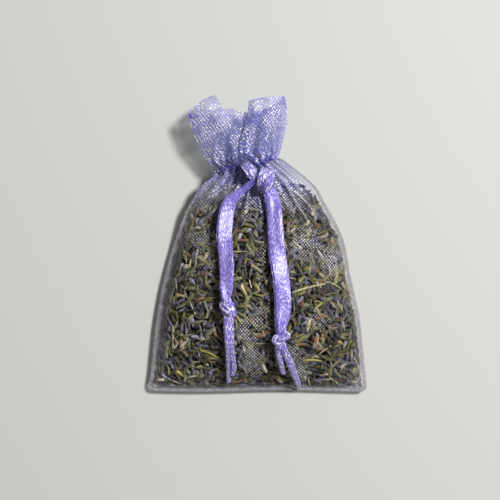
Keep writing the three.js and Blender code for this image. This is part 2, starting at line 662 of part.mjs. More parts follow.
// A bud is a blunt spindle: a calyx with its mouth at the wider end
function budGeometry(extra) {
  const radius = BUD_RADIUS + extra;
  const half = BUD_LENGTH / 2 + extra;
  const profile = BUD_PROFILE.map(([r, y]) => new THREE.Vector2(r * radius, y * half));
  return new THREE.LatheGeometry(profile, BUD_SIDES);
}

// Lays a bud made along +Y on the packed mass, turned by an angle in the surface
function layBud(geometry, x, t, turn) {
  const { point, normal } = onFill(x, t);
  const forward = new THREE.Vector3(Math.cos(turn), Math.sin(turn), 0);
  forward.addScaledVector(normal, -forward.dot(normal)).normalize();
  const sideways = new THREE.Vector3().crossVectors(forward, normal);
  const place = new THREE.Matrix4().makeBasis(sideways, forward, normal);
  place.setPosition(point.addScaledVector(normal, BUD_RISE - BUD_RADIUS));
  return geometry.applyMatrix4(place);
}

let fill = solidOf(loft(fillRings));
for (let k = 0; k < BUD_COUNT; k++) {
  const t = lerp(fillStart + BUD_BOTTOM_MARGIN, FILL_LENGTH - BUD_TOP_MARGIN, spread(k, PLASTIC_1));
  const u = lerp(-BUD_SPREAD, BUD_SPREAD, spread(k, PLASTIC_2));
  const x = centreLine(t) + u * fillHalf(t);
  fill = fill.add(solidOf(layBud(budGeometry(0), x, t, 2 * Math.PI * spread(k, GOLDEN))));
}

// Loose stems and buds lie in the packed mass, each in a hollow of its own
const STEM_PIECES = 8;
const STEM_SIDES = 6;
const stemPoints = ([[x1, t1], [x2, t2]]) =>
  steps(STEM_PIECES / 2).map((s) => {
    const { point, normal } = onFill(lerp(x1, x2, s), lerp(t1, t2, s));
    return point.addScaledVector(normal, STEM_RADIUS);
  });
const numbered = (name, k) => name + "_" + String(k + 1).padStart(2, "0");

STEMS.forEach((ends, k) => {
  const stem = (radius) => tube(stemPoints(ends), radius, STEM_PIECES, STEM_SIDES);
  fill = fill.subtract(solidOf(stem(STEM_RADIUS + GAP)));
  piece(numbered("stem", k), stem(STEM_RADIUS), strawStem);
});
LOOSE_BUDS.forEach(([x, t, degrees], k) => {
  const turn = THREE.MathUtils.degToRad(degrees);
  fill = fill.subtract(solidOf(layBud(budGeometry(GAP), x, t, turn)));
  piece(numbered("bud", k), layBud(budGeometry(0), x, t, turn), looseBud);
});

// Slivers that the hollows cut free are not part of the packed mass
const largest = fill.decompose().sort((a, b) => b.volume() - a.volume())[0];
piece("lavender_fill", geometryOf(largest), lavender);

export default sachet;
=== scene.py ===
# %% [markdown]
# A lavender sachet: a small organza pouch, tied with satin ribbon and filled with dried lavender.
# It lies on its back on a pale table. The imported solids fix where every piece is. This lesson
# dresses them: sheer cloth with real gathers, ribbon with real knots, and some thousands of buds.

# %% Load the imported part
import math

import bpy
import numpy as np
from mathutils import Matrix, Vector


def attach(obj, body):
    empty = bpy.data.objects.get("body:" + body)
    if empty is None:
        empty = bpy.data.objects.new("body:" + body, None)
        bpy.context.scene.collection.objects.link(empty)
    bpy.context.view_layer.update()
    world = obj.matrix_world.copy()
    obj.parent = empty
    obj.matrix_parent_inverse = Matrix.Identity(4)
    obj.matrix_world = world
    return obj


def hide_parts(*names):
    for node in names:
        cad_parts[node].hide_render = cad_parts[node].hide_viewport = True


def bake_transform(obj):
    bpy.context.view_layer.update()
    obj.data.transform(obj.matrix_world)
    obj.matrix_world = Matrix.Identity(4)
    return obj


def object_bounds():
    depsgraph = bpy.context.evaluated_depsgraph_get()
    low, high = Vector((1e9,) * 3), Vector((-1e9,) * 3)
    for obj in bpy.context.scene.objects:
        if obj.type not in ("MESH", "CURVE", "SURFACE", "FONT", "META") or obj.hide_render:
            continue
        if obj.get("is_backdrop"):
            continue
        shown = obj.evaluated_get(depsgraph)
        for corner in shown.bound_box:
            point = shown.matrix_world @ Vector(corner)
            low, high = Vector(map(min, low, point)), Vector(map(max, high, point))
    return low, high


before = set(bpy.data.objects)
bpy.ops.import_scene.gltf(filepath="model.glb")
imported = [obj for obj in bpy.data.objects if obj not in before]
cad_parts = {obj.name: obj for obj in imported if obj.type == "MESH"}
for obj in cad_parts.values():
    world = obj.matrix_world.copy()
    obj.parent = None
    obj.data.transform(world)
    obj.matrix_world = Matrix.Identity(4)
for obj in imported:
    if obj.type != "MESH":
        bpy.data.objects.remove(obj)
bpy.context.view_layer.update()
scene = bpy.context.scene
bpy.ops.object.select_all(action="DESELECT")

# %% [markdown]
# The camera looks almost straight down on the pouch, so its outline in the picture is close to its
# plan. A longish lens from under half a metre gives the slight perspective of a product picture.
# Azimuth is 0, so picture up is +Y, towards the ruffle.

# %% Camera
MM = 0.001
CAMERA_LENS = 85
CAMERA_DISTANCE = 406 * MM
CAMERA_ELEVATION = math.radians(86)
CAMERA_AIM = np.array([-2.4, -2.4, 4.5]) * MM

looking_back = np.array([0, -math.cos(CAMERA_ELEVATION), math.sin(CAMERA_ELEVATION)])
camera_place = CAMERA_AIM + looking_back * CAMERA_DISTANCE
camera_turn = (math.pi / 2 - CAMERA_ELEVATION, 0, 0)
bpy.ops.object.camera_add(location=camera_place, rotation=camera_turn)
camera = bpy.context.object
camera.data.lens = CAMERA_LENS
camera.data.clip_start = 10 * MM
scene.camera = camera
print("camera", [round(1000 * x) for x in camera_place], "mm")

# %% [markdown]
# Every finish below is written as nodes. One function turns the hex colours of a paint chart into
# the linear numbers that a shader wants, and one adds a node with its settings and links.

# %% Colours and nodes
def linear(hex_colour):
    """A hex colour such as #9388D6 as linear red, green, blue and alpha."""
    shares = [int(hex_colour[i:i + 2], 16) / 255 for i in (1, 3, 5)]
    return [s / 12.92 if s <= 0.04045 else ((s + 0.055) / 1.055) ** 2.4 for s in shares] + [1.0]


def new_material(name):
    """A node material that has no nodes yet."""
    material = bpy.data.materials.new(name)
    material.use_nodes = True
    material.node_tree.nodes.clear()
    return material


def add(material, kind, inputs=None, **settings):
    """Adds a node. Each input is a plain value, or a node or socket that is linked to it."""
    node = material.node_tree.nodes.new("ShaderNode" + kind)
    for name, value in settings.items():
        setattr(node, name, value)
    for name, value in (inputs or {}).items():
        if isinstance(value, bpy.types.Node):
            value = value.outputs[0]
        if isinstance(value, bpy.types.NodeSocket):
            material.node_tree.links.new(value, node.inputs[name])
        else:
            node.inputs[name].default_value = value
    return node


print("a half grey is", round(linear("#808080")[0], 3), "in linear light")

# %% [markdown]
# A few small functions shape nearly everything below: soft steps, humps and plateaus, values read
# from pairs of place and value, and a running average that rounds the corners of such a run.

# %% Soft steps and runs
def smooth(value, low, high):
    """A soft step from 0 at low to 1 at high."""
    share = np.clip((value - low) / (high - low), 0, 1)
    return share * share * (3 - 2 * share)


def plateau(value, low, full, fade, end):
    """A soft step up from low to full, and down again from fade to end."""
    return smooth(value, low, full) * (1 - smooth(value, fade, end))


def hump(value, middle, width):
    return np.exp(-((value - middle) / width) ** 2)


def mix(a, b, share):
    return a + (b - a) * share


def through(pairs, at):
    """The value at a place on straight runs between pairs of place and value."""
    return np.interp(at, *np.transpose(pairs))


def softened(values, reach):
    """Each value averaged with its neighbours up to reach away."""
    window = np.ones(2 * reach + 1) / (2 * reach + 1)
    return np.convolve(np.pad(values, reach, mode="edge"), window, mode="valid")


print("a soft step is", smooth(0.25, 0, 1), "a quarter of the way")

# %% [markdown]
# The pouch's shape is a set of curves along its length: how wide it is, how high the front cloth
# stands and how the sides rise to the neck. They are the curves that shaped the solids, but the rim is
# softer: it lies lower, its bottom corners are round, and its sides give in or bulge a little.
# Distances are in millimetres; t runs up from the bottom edge.

# %% Outline of the pouch
LENGTH = 101.8
BODY_LENGTH = 76.7
BAG_WIDTH = 72.6
SHOULDER_WIDTH = 60.6
SHOULDER_ROUND = 2.8
CORNER_EAR = 1.2
EAR_LENGTH = 5
CORNER_ROUND = 3.0
NECK_WIDTH = 21.4
NECK_SHIFT = -3.3
SHIFT_POWER = 16  # the middle line turns aside only close to the neck
LEFT_INSET = [(0, -0.5), (9, -0.7), (23, -1.0), (36, -0.8), (48, -0.45), (56, -0.1), (62, 0),
              (66.7, 1.0), (70, 1.2), (71.5, 2.0), (73, 3.2), (74, 3.6), (75, 3.0), (76.7, 0)]
RIGHT_FULLNESS = [(0, 0.9), (6, 1.2), (12, 1.4), (25, 1.7), (35, 1.25), (41, 1.1), (48, 1.7),
                  (53, 1.9), (58, 1.2), (66, 0)]
RIGHT_SHOULDER_OUTSET = 0.8
RIGHT_SHOULDER = (62, 71, 74, 76.7)


def body_share(t):
    return np.clip(t / BODY_LENGTH, 0, 1)


def half_width(t):
    neck = NECK_WIDTH / 2
    ear = CORNER_EAR * np.exp(-np.maximum(t, 0) / EAR_LENGTH)
    corner = CORNER_ROUND * (1 - np.sqrt(1 - np.clip(1 - t / CORNER_ROUND, 0, 1) ** 2))
    side = mix(BAG_WIDTH, SHOULDER_WIDTH, body_share(t)) / 2 + ear - corner
    return neck + (side - neck) * np.sqrt(1 - body_share(t) ** SHOULDER_ROUND)


def centre_line(t):
    return NECK_SHIFT * body_share(t) ** SHIFT_POWER


def side_ease(u, t):
    """How far the soft sides lie off those curves: slack at the left shoulder, full on the right."""
    left = through(LEFT_INSET, t)
    right = RIGHT_SHOULDER_OUTSET * plateau(t, *RIGHT_SHOULDER) + through(RIGHT_FULLNESS, t)
    return left * np.clip(-u, 0, 1) + right * np.clip(u, 0, 1)


print("neck line at y", round(BODY_LENGTH - LENGTH / 2, 1), "mm")

# %% [markdown]
# Seen from the side, the front cloth swells to a crown over the buds and the back lies flat on the
# table. Both run down to a thin rim and up to the round neck. Ribbons lie over the front cloth and
# stand off a little where it falls away to the foot.

# %% Height of the cloth
BODY_DEPTH = 17
SEAM_HEIGHT = 2.2  # the soft rim settles a little lower than the solids' seams
FLANGE = 1.2  # flat edge of cloth outside the buds
CLOTH = 0.4
GAP = 0.3
BOTTOM_ROUND = 21
FLAT_PRESS = 1.2
RIM_POWER = 0.72
BOTTOM_POWER = 0.95
FRONT_FULLNESS = 2.4
BACK_FULLNESS = 4
DIMPLE_PITCH = 8.3
DIMPLE_DEPTH = 1.1
DIMPLE_END = 0.62  # dimples fade from this share of the body to the neck
NECK_DEPTH = 9
NECK_HEIGHT = 7
SEAM_RISES = 0.6  # shares of the body where seam, crown and back begin to turn to the neck
CROWN_FALLS = 0.5
BACK_RISES = 0.72
TABLE_CLEAR = 0.15
STAND_OFF = [(30, 0.0), (45, 0.35), (60, 0.4), (74, 0.0)]


def panel_half(t):
    return half_width(t) - FLANGE


def seam_height(t):
    return mix(SEAM_HEIGHT, NECK_HEIGHT, smooth(body_share(t), SEAM_RISES, 1))


def crown(t):
    return mix(BODY_DEPTH, NECK_HEIGHT + NECK_DEPTH / 2, smooth(body_share(t), CROWN_FALLS, 1))


def hollow(t):
    return mix(-FLAT_PRESS, NECK_HEIGHT - NECK_DEPTH / 2, smooth(body_share(t), BACK_RISES, 1))


def across_profile(u, fullness):
    return (1 - np.minimum(np.abs(u), 1) ** fullness) ** RIM_POWER


def bottom_profile(t):
    share = np.clip((t - FLANGE) / BOTTOM_ROUND, 0, 1)
    return (1 - (1 - share) ** 2) ** BOTTOM_POWER


def front_height(x, t):
    """Height of the front cloth over the table, without its gathers and dimples."""
    foot = seam_height(t) + GAP / 2 + CLOTH
    u = (x - centre_line(t)) / panel_half(t)
    return foot + (crown(t) - foot) * across_profile(u, FRONT_FULLNESS) * bottom_profile(t)


def back_height(x, t):
    foot = seam_height(t) - GAP / 2 - CLOTH
    u = (x - centre_line(t)) / panel_half(t)
    height = foot + (hollow(t) - foot) * across_profile(u, BACK_FULLNESS) * bottom_profile(t)
    return np.maximum(TABLE_CLEAR, height)


def dimple(x, t):
    """How far the front cloth dips between the lumps of the fill."""
    wave = 2 * math.pi / DIMPLE_PITCH
    off = x - centre_line(t)
    lumps = np.sin(wave * (off + t / 2)) * np.sin(wave * (t - off / 2))
    inside = across_profile(off / panel_half(t), BACK_FULLNESS) * bottom_profile(t)
    return DIMPLE_DEPTH * inside * (1 - smooth(body_share(t), DIMPLE_END, 1)) * (0.5 + lumps / 2)


def over_cloth(x, drop, lift):
    """A point above the front cloth, at x and a distance below the neck line."""
    t = BODY_LENGTH - drop
    off = GAP + through(STAND_OFF, drop)
    return np.stack([x, t - LENGTH / 2, front_height(x, t) + off + lift], axis=-1)


print("crown", BODY_DEPTH, "mm")

# %% [markdown]
# Cloth and ribbon are thin sheets, and a sheet is a grid of points: rows along it and columns across.
# This cell turns such a grid into a mesh with a UV map that measures the cloth in millimetres, so a
# weave drawn on the UVs follows every fold. A ribbon then gets its thickness with Solidify.

# %% Sheets from grids of points
def mesh_piece(name, points, faces, material):
    mesh = bpy.data.meshes.new(name)
    mesh.from_pydata((np.asarray(points) * MM).tolist(), [], faces)
    mesh.validate()
    mesh.materials.append(material)
    piece = bpy.data.objects.new(name, mesh)
    scene.collection.objects.link(piece)
    mesh.shade_smooth()
    return piece


def grid_faces(rows, columns, closed):
    """Four-sided faces between the rows and columns; closed joins the last column to the first."""
    i = np.arange(rows - 1)[:, None]
    j = np.arange(columns if closed else columns - 1)[None, :]
    after = (j + 1) % columns
    low = i * columns
    corners = [low + j, low + after, low + columns + after, low + columns + j]
    return np.stack(np.broadcast_arrays(*corners), axis=-1).reshape(-1, 4).tolist()


def sheet_piece(name, grid, measure, material, closed=False):
    """A sheet through a grid of points; measure holds each point's place on the flat cloth in mm."""
    rows, columns = grid.shape[:2]
    piece = mesh_piece(name, grid.reshape(-1, 3), grid_faces(rows, columns, closed), material)
    layer = piece.data.uv_layers.new(name="cloth_mm")
    corner_vertex = np.zeros(len(piece.data.loops), int)
    piece.data.loops.foreach_get("vertex_index", corner_vertex)
    layer.data.foreach_set("uv", measure.reshape(-1, 2)[corner_vertex].ravel())
    return piece


def paired(first, second):
    """A grid of pairs from two arrays that fit each other."""
    return np.stack(np.broadcast_arrays(first, second), axis=-1)


def select_only(*pieces):
    """Selects these pieces alone and makes the first one active."""
    bpy.ops.object.select_all(action="DESELECT")
    for piece in pieces:
        piece.select_set(True)
    bpy.context.view_layer.objects.active = pieces[0]


def thicken(piece, thickness):
    """Gives a sheet a thickness about its middle and applies it."""
    select_only(piece)
    modifier = piece.modifiers.new("thickness", "SOLIDIFY")
    modifier.thickness = thickness * MM
    modifier.offset = 0
    bpy.ops.object.modifier_apply(modifier=modifier.name)


def joined(*pieces):
    """Joins pieces into the first one."""
    select_only(*pieces)
    bpy.ops.object.join()
    return pieces[0]


def close_ends(piece):
    """Fills the open ends of a tube and turns its faces out."""
    select_only(piece)
    bpy.ops.object.mode_set(mode="EDIT")
    bpy.ops.mesh.select_all(action="SELECT")
    bpy.ops.mesh.fill_holes(sides=0)
    bpy.ops.mesh.normals_make_consistent(inside=False)
    bpy.ops.object.mode_set(mode="OBJECT")


print("a grid of 3 by 4 points has", len(grid_faces(3, 4, False)), "faces")

# %% [markdown]
# Ribbons and cords follow lines. A few given points are enough for one: a smooth curve is drawn
# through them, and every point of it gets a direction along, one to the side and one out of the line.

# %% Lines and their directions
UP = (0.0, 0.0, 1.0)


def unit(vectors):
    return vectors / np.maximum(np.linalg.norm(vectors, axis=-1, keepdims=True), 1e-9)


def running_length(line):
    return np.concatenate([[0], np.cumsum(np.linalg.norm(np.diff(line, axis=0), axis=1))])


def curve_through(rows, count, measured=3):
    """count rows on a smooth curve through the given rows, spread by length over their first columns."""
    rows = np.array(rows, float)
    knots = running_length(rows[:, :measured])
    slopes = np.gradient(rows, knots, axis=0)
    at = np.linspace(0, knots[-1], count)
    i = np.clip(np.searchsorted(knots, at, side="right") - 1, 0, len(knots) - 2)
    span = (knots[i + 1] - knots[i])[:, None]
    f = (at - knots[i])[:, None] / span
    start = (2 * f ** 3 - 3 * f ** 2 + 1) * rows[i] + (f ** 3 - 2 * f ** 2 + f) * span * slopes[i]
    end = (3 * f ** 2 - 2 * f ** 3) * rows[i + 1] + (f ** 3 - f ** 2) * span * slopes[i + 1]
    return start + end


def tangents_of(line):
    return unit(np.gradient(line, axis=0))


def sides_and_normals(line, ups):
    """The directions to the side of a line and out of it."""
    tangents = tangents_of(line)
    sides = unit(np.cross(tangents, ups))
    return sides, np.cross(sides, tangents)


def rolled(line, ups, degrees):
    """The up directions of a line, turned about it."""
    angle = np.radians(degrees)[:, None]
    return ups * np.cos(angle) + np.cross(tangents_of(line), ups) * np.sin(angle)


def carried_ups(line, up, start):
    """The up direction at each point of a line, carried both ways from one point without twist."""
    tangents = tangents_of(line)
    ups = np.zeros_like(tangents)
    for order in (range(start, len(tangents)), range(start, -1, -1)):
        carried = np.array(up, float)
        for i in order:
            carried = carried - tangents[i] * (carried @ tangents[i])
            carried = carried / np.linalg.norm(carried)
            ups[i] = carried
    return ups


def laid_line(path, lifts, step, beside, blur=0):
    """A line laid over the cloth, its up directions, and each point's share of its length.

    path holds rows of x and drop below the neck line, lifts holds pairs of share and height.
    """
    length = running_length(np.array(path, float))[-1]
    x, drop = curve_through(path, int(length / step), measured=2).T
    share = np.linspace(0, 1, len(x))
    lift = softened(through(lifts, share), blur)
    line = over_cloth(x, drop, lift)
    across = over_cloth(x + beside, drop, lift) - over_cloth(x - beside, drop, lift)
    ups = unit(np.cross(across, np.gradient(line, axis=0)))
    return line, ups * np.sign(ups[:, 2:]), share


print("a line of 3 and 4 mm runs", running_length(np.array([[0, 0], [3, 0], [3, 4]]))[-1], "mm")

# %% [markdown]
# Satin ribbon is polyester woven with long floats along it, so the lamp shows as soft bands across
# the ribbon wherever it rises or falls, and a slanted twill breaks them into dashes. The dashes are
# also painted pale, and near white on the tie, the knots and the loose ends: painted glints. Real
# floats are a few tenths of a millimetre; they are drawn here about three times as coarse so that they
# show.

# %% Satin ribbon finish
TWILL_PITCH = 0.8
TWILL_STRETCH = 0.42
DASH_SOFTNESS = 0.13
RIBBON_COLOUR = "#9A8DE4"
RIBBON_DEEP = "#7566CB"
RIBBON_PAINTED_SHEEN = "#BDB4F2"
RIBBON_PAINTED_GLINT = "#F4F1FF"
RIBBON_PAINTED_SOFT_GLINT = "#EAE6FE"


def satin(name, pale, slant, limit):
    """Satin with painted glints of the colour pale, slanted in degrees, where the twill is over a limit."""
    material = new_material(name)
    place = add(material, "UVMap", uv_map="cloth_mm")
    twill_place = add(material, "Mapping", {"Vector": place, "Rotation": (0, 0, math.radians(slant)),
                                            "Scale": (1 / TWILL_PITCH, TWILL_STRETCH / TWILL_PITCH, 1)})
    floats = add(material, "TexNoise", {"Vector": twill_place, "Scale": 1.6, "Detail": 1.0})
    shade_place = add(material, "Mapping", {"Vector": place, "Scale": (1 / 4, 1 / 9, 1)})
    shade = add(material, "TexNoise", {"Vector": shade_place, "Scale": 1.0, "Detail": 2.0})
    tone = add(material, "Math", {0: floats.outputs["Fac"], 1: shade.outputs["Fac"]}, operation="ADD")
    share = add(material, "MapRange", {"Value": tone, "From Min": 0.8, "From Max": 1.15})
    cloth = add(material, "Mix", {"Factor": share, "A": linear(RIBBON_DEEP), "B": linear(RIBBON_COLOUR)},
                data_type="RGBA")
    # Painted glints: where the twill floats stand above the limit, the colour is mixed towards pale.
    painted_dashes = add(material, "MapRange", {"Value": floats.outputs["Fac"], "From Min": limit,
                                        "From Max": limit + DASH_SOFTNESS})
    paint = add(material, "Mix", {"Factor": painted_dashes, "A": cloth.outputs["Result"], "B": linear(pale)},
                data_type="RGBA")
    relief = add(material, "Bump", {"Height": floats.outputs["Fac"], "Strength": 1.0, "Distance": 0.2 * MM})
    turn = add(material, "Tangent", direction_type="UV_MAP", uv_map="cloth_mm")
    body = add(material, "BsdfPrincipled", {"Base Color": paint.outputs["Result"], "Roughness": 0.36,
                                            "Normal": relief, "Tangent": turn, "Anisotropic": 0.7,
                                            "IOR": 1.6, "Specular IOR Level": 0.75,
                                            "Sheen Weight": 0.2, "Sheen Roughness": 0.4})
    add(material, "OutputMaterial", {"Surface": body})
    return material


# Each finish: its kind, its painted glint colour, slant and limit; tie, knots and ends get near white
# painted glints.
satin_left, satin_right, satin_tie_painted_glints, satin_bunched_painted_glints = [
    satin("woven polyester satin ribbon, " + kind, pale, slant, limit)
    for kind, pale, slant, limit in [
        ("slant right", RIBBON_PAINTED_SHEEN, -34, 0.53), ("slant left", RIBBON_PAINTED_SHEEN, 34, 0.53),
        ("drawn tight", RIBBON_PAINTED_GLINT, 34, 0.47), ("bunched", RIBBON_PAINTED_SOFT_GLINT, 14, 0.48)]]
print("satin", [finish.name for finish in (satin_left, satin_right, satin_tie_painted_glints, satin_bunched_painted_glints)])

# %% [markdown]
# A ribbon is swept along a line: at each point it has a width, an arch across it and a side direction.
# Where it is squeezed narrower than its woven width, the spare width stands up in lengthwise folds.
# In a knot the side is carried along the line without turning, and an extra roll turns it on purpose.
# Ribbon that is bunched altogether becomes a closed tube with a fluted section.

# %% Ribbons along a line
RIBBON_WIDTH = 5.6
RIBBON_THICKNESS = 0.2
RIBBON_COLUMNS = 25
PICOT_PITCH = 0.8
PICOT_DEPTH = 0.1
FOLD_HEIGHT = 0.22
KNOT_STEP = 0.2
KNOT_FOLDS = 2.5
STRAND_COLUMNS = 30
FLUTE_DEPTH = 0.16
FLUTES = 5


def ribbon_band(name, line, ups, widths, arches, folds, material, start=0.0):
    """A ribbon along a line. Its edges carry the small loops of the weave."""
    sides, normals = sides_and_normals(line, ups)
    along = running_length(line) + start
    across = np.linspace(-1, 1, RIBBON_COLUMNS)
    picot = PICOT_DEPTH * np.sin(2 * math.pi * along / PICOT_PITCH)
    loops = np.where(np.abs(across) == 1, np.sign(across) * picot[:, None], 0)
    reach = widths[:, None] / 2 * across + loops
    spare = FOLD_HEIGHT * widths * np.clip(1 - widths / RIBBON_WIDTH, 0, 1)
    wander = 0.7 * np.sin(along / 2.9 + start)
    fold = np.cos(math.pi * folds * across[None, :] + wander[:, None])
    rise = arches[:, None] * (1 - across ** 2) - spare[:, None] * fold
    grid = line[:, None] + sides[:, None] * reach[..., None] + normals[:, None] * rise[..., None]
    flat_width = np.maximum(widths, 0.6 * RIBBON_WIDTH)[:, None]
    piece = sheet_piece(name, grid, paired(across * flat_width / 2, along[:, None]), material)
    thicken(piece, RIBBON_THICKNESS)
    return piece


def knot_ribbon(name, rows, up, material, crest):
    """A ribbon through rows of x, y, z, width, arch and roll in degrees, facing up at its crest."""
    count = int(running_length(np.array(rows, float)[:, :3])[-1] / KNOT_STEP)
    points = curve_through(rows, count)
    line = points[:, :3]
    ups = rolled(line, carried_ups(line, up, int(crest * (count - 1))), points[:, 5])
    return ribbon_band(name, line, ups, points[:, 3], points[:, 4], KNOT_FOLDS, material)


def bunched_strand(name, line, ups, half_wide, half_deep, flutes, material):
    """A closed tube along a line, with the fluted section of ribbon that is folded lengthwise."""
    sides, normals = sides_and_normals(line, ups)
    angle = np.linspace(0, 2 * math.pi, STRAND_COLUMNS, endpoint=False)
    along = running_length(line)
    flute = 1 + FLUTE_DEPTH * np.cos(flutes * angle + 0.8 + 0.5 * np.sin(along[:, None]))
    out_x = np.broadcast_to(half_wide, len(line))[:, None] * flute * np.cos(angle)
    out_z = np.broadcast_to(half_deep, len(line))[:, None] * flute * np.sin(angle)
    grid = line[:, None] + sides[:, None] * out_x[..., None] + normals[:, None] * out_z[..., None]
    piece = sheet_piece(name, grid, paired(angle * 1.2, along[:, None]), material, closed=True)
    close_ends(piece)
    return piece


print("ribbon", RIBBON_WIDTH, "mm wide, with", RIBBON_COLUMNS, "points across")

# %% [markdown]
# Each tail is the two ends of a drawcord, lying on each other down the front of the pouch. They leave
# the tie narrow and twisted, open to the ribbon's full width and close again at the end knot. The
# route is the one of the solids. Two plies a little apart show their edges, as on the real tail.

# %% Ribbon tails
TAIL_STEP = 0.25
LIFT_BLUR = 12
WIDTH_BLUR = 8
PLIES = [(0.0, 0.0), (0.5, 0.4)]  # how deep and how far aside each ply lies
LEFT_TAIL = [[-4.5, 8.6], [-7.1, 10.8], [-8.5, 12.1], [-9.6, 14.4], [-10.5, 19.2], [-10.8, 24.6],
             [-10.4, 29.7], [-10.0, 37.4], [-10.2, 42.4], [-10.3, 45.8]]
RIGHT_TAIL = [[3.9, 8.3], [4.7, 9.8], [5.5, 13.7], [6.0, 19.2], [6.3, 24.7], [6.9, 30.8], [7.9, 36.5],
              [8.5, 42.4], [8.7, 47.4], [8.4, 51.7], [7.9, 55.0], [7.6, 57.0]]


def tail_ribbon(name, path, lifts, widths, arches, rolls, folds, material):
    """Two plies of ribbon down a tail. Returns the piece and the line of its middle, in metres."""
    line, ups, share = laid_line(path, lifts, TAIL_STEP, 1.5, LIFT_BLUR)
    ups = rolled(line, ups, softened(through(rolls, share), WIDTH_BLUR))
    width = softened(through(widths, share), WIDTH_BLUR)
    sides = unit(np.cross(tangents_of(line), ups))
    plies = [ribbon_band(name, line - ups * depth + sides * aside, ups, width, through(arches, share),
                         folds, material, start=depth * 7) for depth, aside in PLIES]
    return joined(*plies), line * MM


left_tail, left_line = tail_ribbon(
    "left_tail_ribbon", LEFT_TAIL,
    lifts=[(0, 1.3), (0.06, 1.5), (0.25, 1.2), (0.42, 1.0), (0.6, 1.3), (0.8, 1.1), (1, 1.3)],
    widths=[(0, 1.6), (0.06, 2.4), (0.16, 4.2), (0.3, 4.8), (0.7, 4.8), (0.88, 4.5), (0.95, 3.6), (1, 2.2)],
    arches=[(0, 0.6), (0.15, 0.5), (0.3, 0.35), (0.75, 0.3), (1, 0.5)],
    rolls=[(0, -6), (0.12, -8), (0.22, -24), (0.48, -24), (0.6, 4), (0.84, 6), (0.92, -18), (1, -14)],
    folds=1.0, material=satin_left)
right_tail, right_line = tail_ribbon(
    "right_tail_ribbon", RIGHT_TAIL,
    lifts=[(0, 1.3), (0.1, 1.6), (0.25, 1.5), (0.42, 1.0), (0.6, 1.2), (0.8, 1.1), (1, 1.3)],
    widths=[(0, 4.2), (0.08, 4.7), (0.3, 5.2), (0.6, 5.4), (0.85, 5.0), (0.92, 4.2), (0.97, 2.8), (1, 1.8)],
    arches=[(0, 0.7), (0.12, 0.4), (0.3, 0.25), (0.8, 0.3), (1, 0.6)],
    rolls=[(0, -12), (0.07, -10), (0.15, 15), (0.4, 15), (0.5, -10), (0.66, -14), (0.75, 0), (0.86, 0),
           (0.93, -14), (1, -6)],
    folds=1.6, material=satin_right)
print("tails", [round(1000 * running_length(line)[-1], 1) for line in (left_line, right_line)], "mm long")

# %% [markdown]
# The tie is a half knot: the ribbon from the right rolls over the one from the left, turns under it
# and comes up between the two, and each leaves on the other's side. The left strand is one ribbon
# through given points and the right one three, joined: wide where they roll over the front, and
# folded lengthwise where they are squeezed.

# %% Half knot of the tie
tie_left = knot_ribbon("tie_strand_left_ribbon", [
    [-4.4, 26.4, 10.6, 3.0, 0.3, 0],
    [-3.8, 25.8, 13.6, 3.6, 0.5, 0],
    [-2.9, 24.5, 15.6, 4.2, 0.8, 0],
    [-1.8, 23.0, 16.2, 4.2, 0.9, 0],
    [-0.8, 21.5, 15.0, 3.4, 0.6, 0],
    [0.8, 20.0, 13.7, 3.0, 0.4, 0],
    [2.2, 18.9, 13.5, 3.4, 0.4, 0],
    [3.3, 18.0, 13.8, 3.9, 0.5, 0],
    [3.9, 17.4, 14.1, 4.2, 0.7, 8],
], (0.28, 0.22, 0.93), satin_tie_painted_glints, crest=0.42)
tie_loop = knot_ribbon("tie_strand_right_ribbon", [
    [3.7, 24.4, 10.6, 3.2, 0.3, 0],
    [3.6, 24.0, 13.2, 4.2, 0.5, 0],
    [3.5, 23.3, 15.4, 5.0, 0.6, 0],
    [3.3, 22.2, 16.7, 5.4, 0.7, 0],
    [2.9, 20.7, 17.3, 5.4, 0.8, 0],
    [2.6, 19.2, 17.0, 5.2, 0.9, 0],
    [2.4, 17.9, 16.2, 4.8, 0.9, 0],
    [2.2, 17.0, 15.0, 4.2, 0.8, 0],
    [2.0, 16.7, 14.0, 3.2, 0.5, 0],
    [1.3, 17.8, 13.0, 2.5, 0.3, 0],
], (0.22, 0.25, 0.94), satin_tie_painted_glints, crest=0.48)
tie_under = knot_ribbon("tie_under", [
    [1.4, 20.6, 14.2, 1.7, 0.1, 0],
    [0.3, 20.6, 15.6, 1.8, 0.0, 0],
    [-0.9, 20.1, 15.9, 1.8, -0.1, 0],
    [-2.1, 19.2, 15.6, 1.9, -0.2, 0],
    [-3.2, 18.3, 15.2, 2.0, -0.3, 0],
    [-4.6, 17.2, 14.7, 2.3, -0.4, 0],
    [-5.8, 16.2, 14.2, 2.5, -0.4, 0],
], (0.05, 0.1, 0.99), satin_left, crest=0.6)
tie_fold = knot_ribbon("tie_fold", [
    [0.9, 17.3, 15.2, 1.2, 0.2, 0],
    [1.5, 16.9, 17.0, 1.5, 0.3, 0],
    [2.4, 17.8, 18.5, 1.8, 0.4, 0],
    [3.4, 19.4, 18.9, 1.9, 0.4, 0],
    [4.3, 20.8, 18.2, 1.8, 0.4, 0],
    [4.9, 21.3, 16.6, 1.7, 0.3, 0],
    [5.2, 20.6, 14.8, 1.6, 0.3, 0],
], (-0.6, -0.45, 0.65), satin_left, crest=0.5)
tie_right = joined(tie_loop, tie_under, tie_fold)
print("tie", len(tie_left.data.polygons) + len(tie_right.data.polygons), "faces")

# %% [markdown]
# Each tail ends in a thumb knot: the doubled ribbon makes a turn about itself and is pulled tight. On
# the left a bunched roll falls slantwise over another. On the right the turn stands open in two small
# rings, with a band of ribbon between them. The bunched cord runs through both knots as a core.

# %% End knots
KNOT_ROWS = 40
TURN_ROWS = 60
KNOT_CORE_ROWS = 24
KNOT_CORE_DEPTH = 0.75
KNOT_CORE_ABOVE = 0.6
KNOT_CORE_BELOW = 0.8
RING_TIP = (0, 1.0, 0.1)  # the way a ring's height points, nearly along the cloth


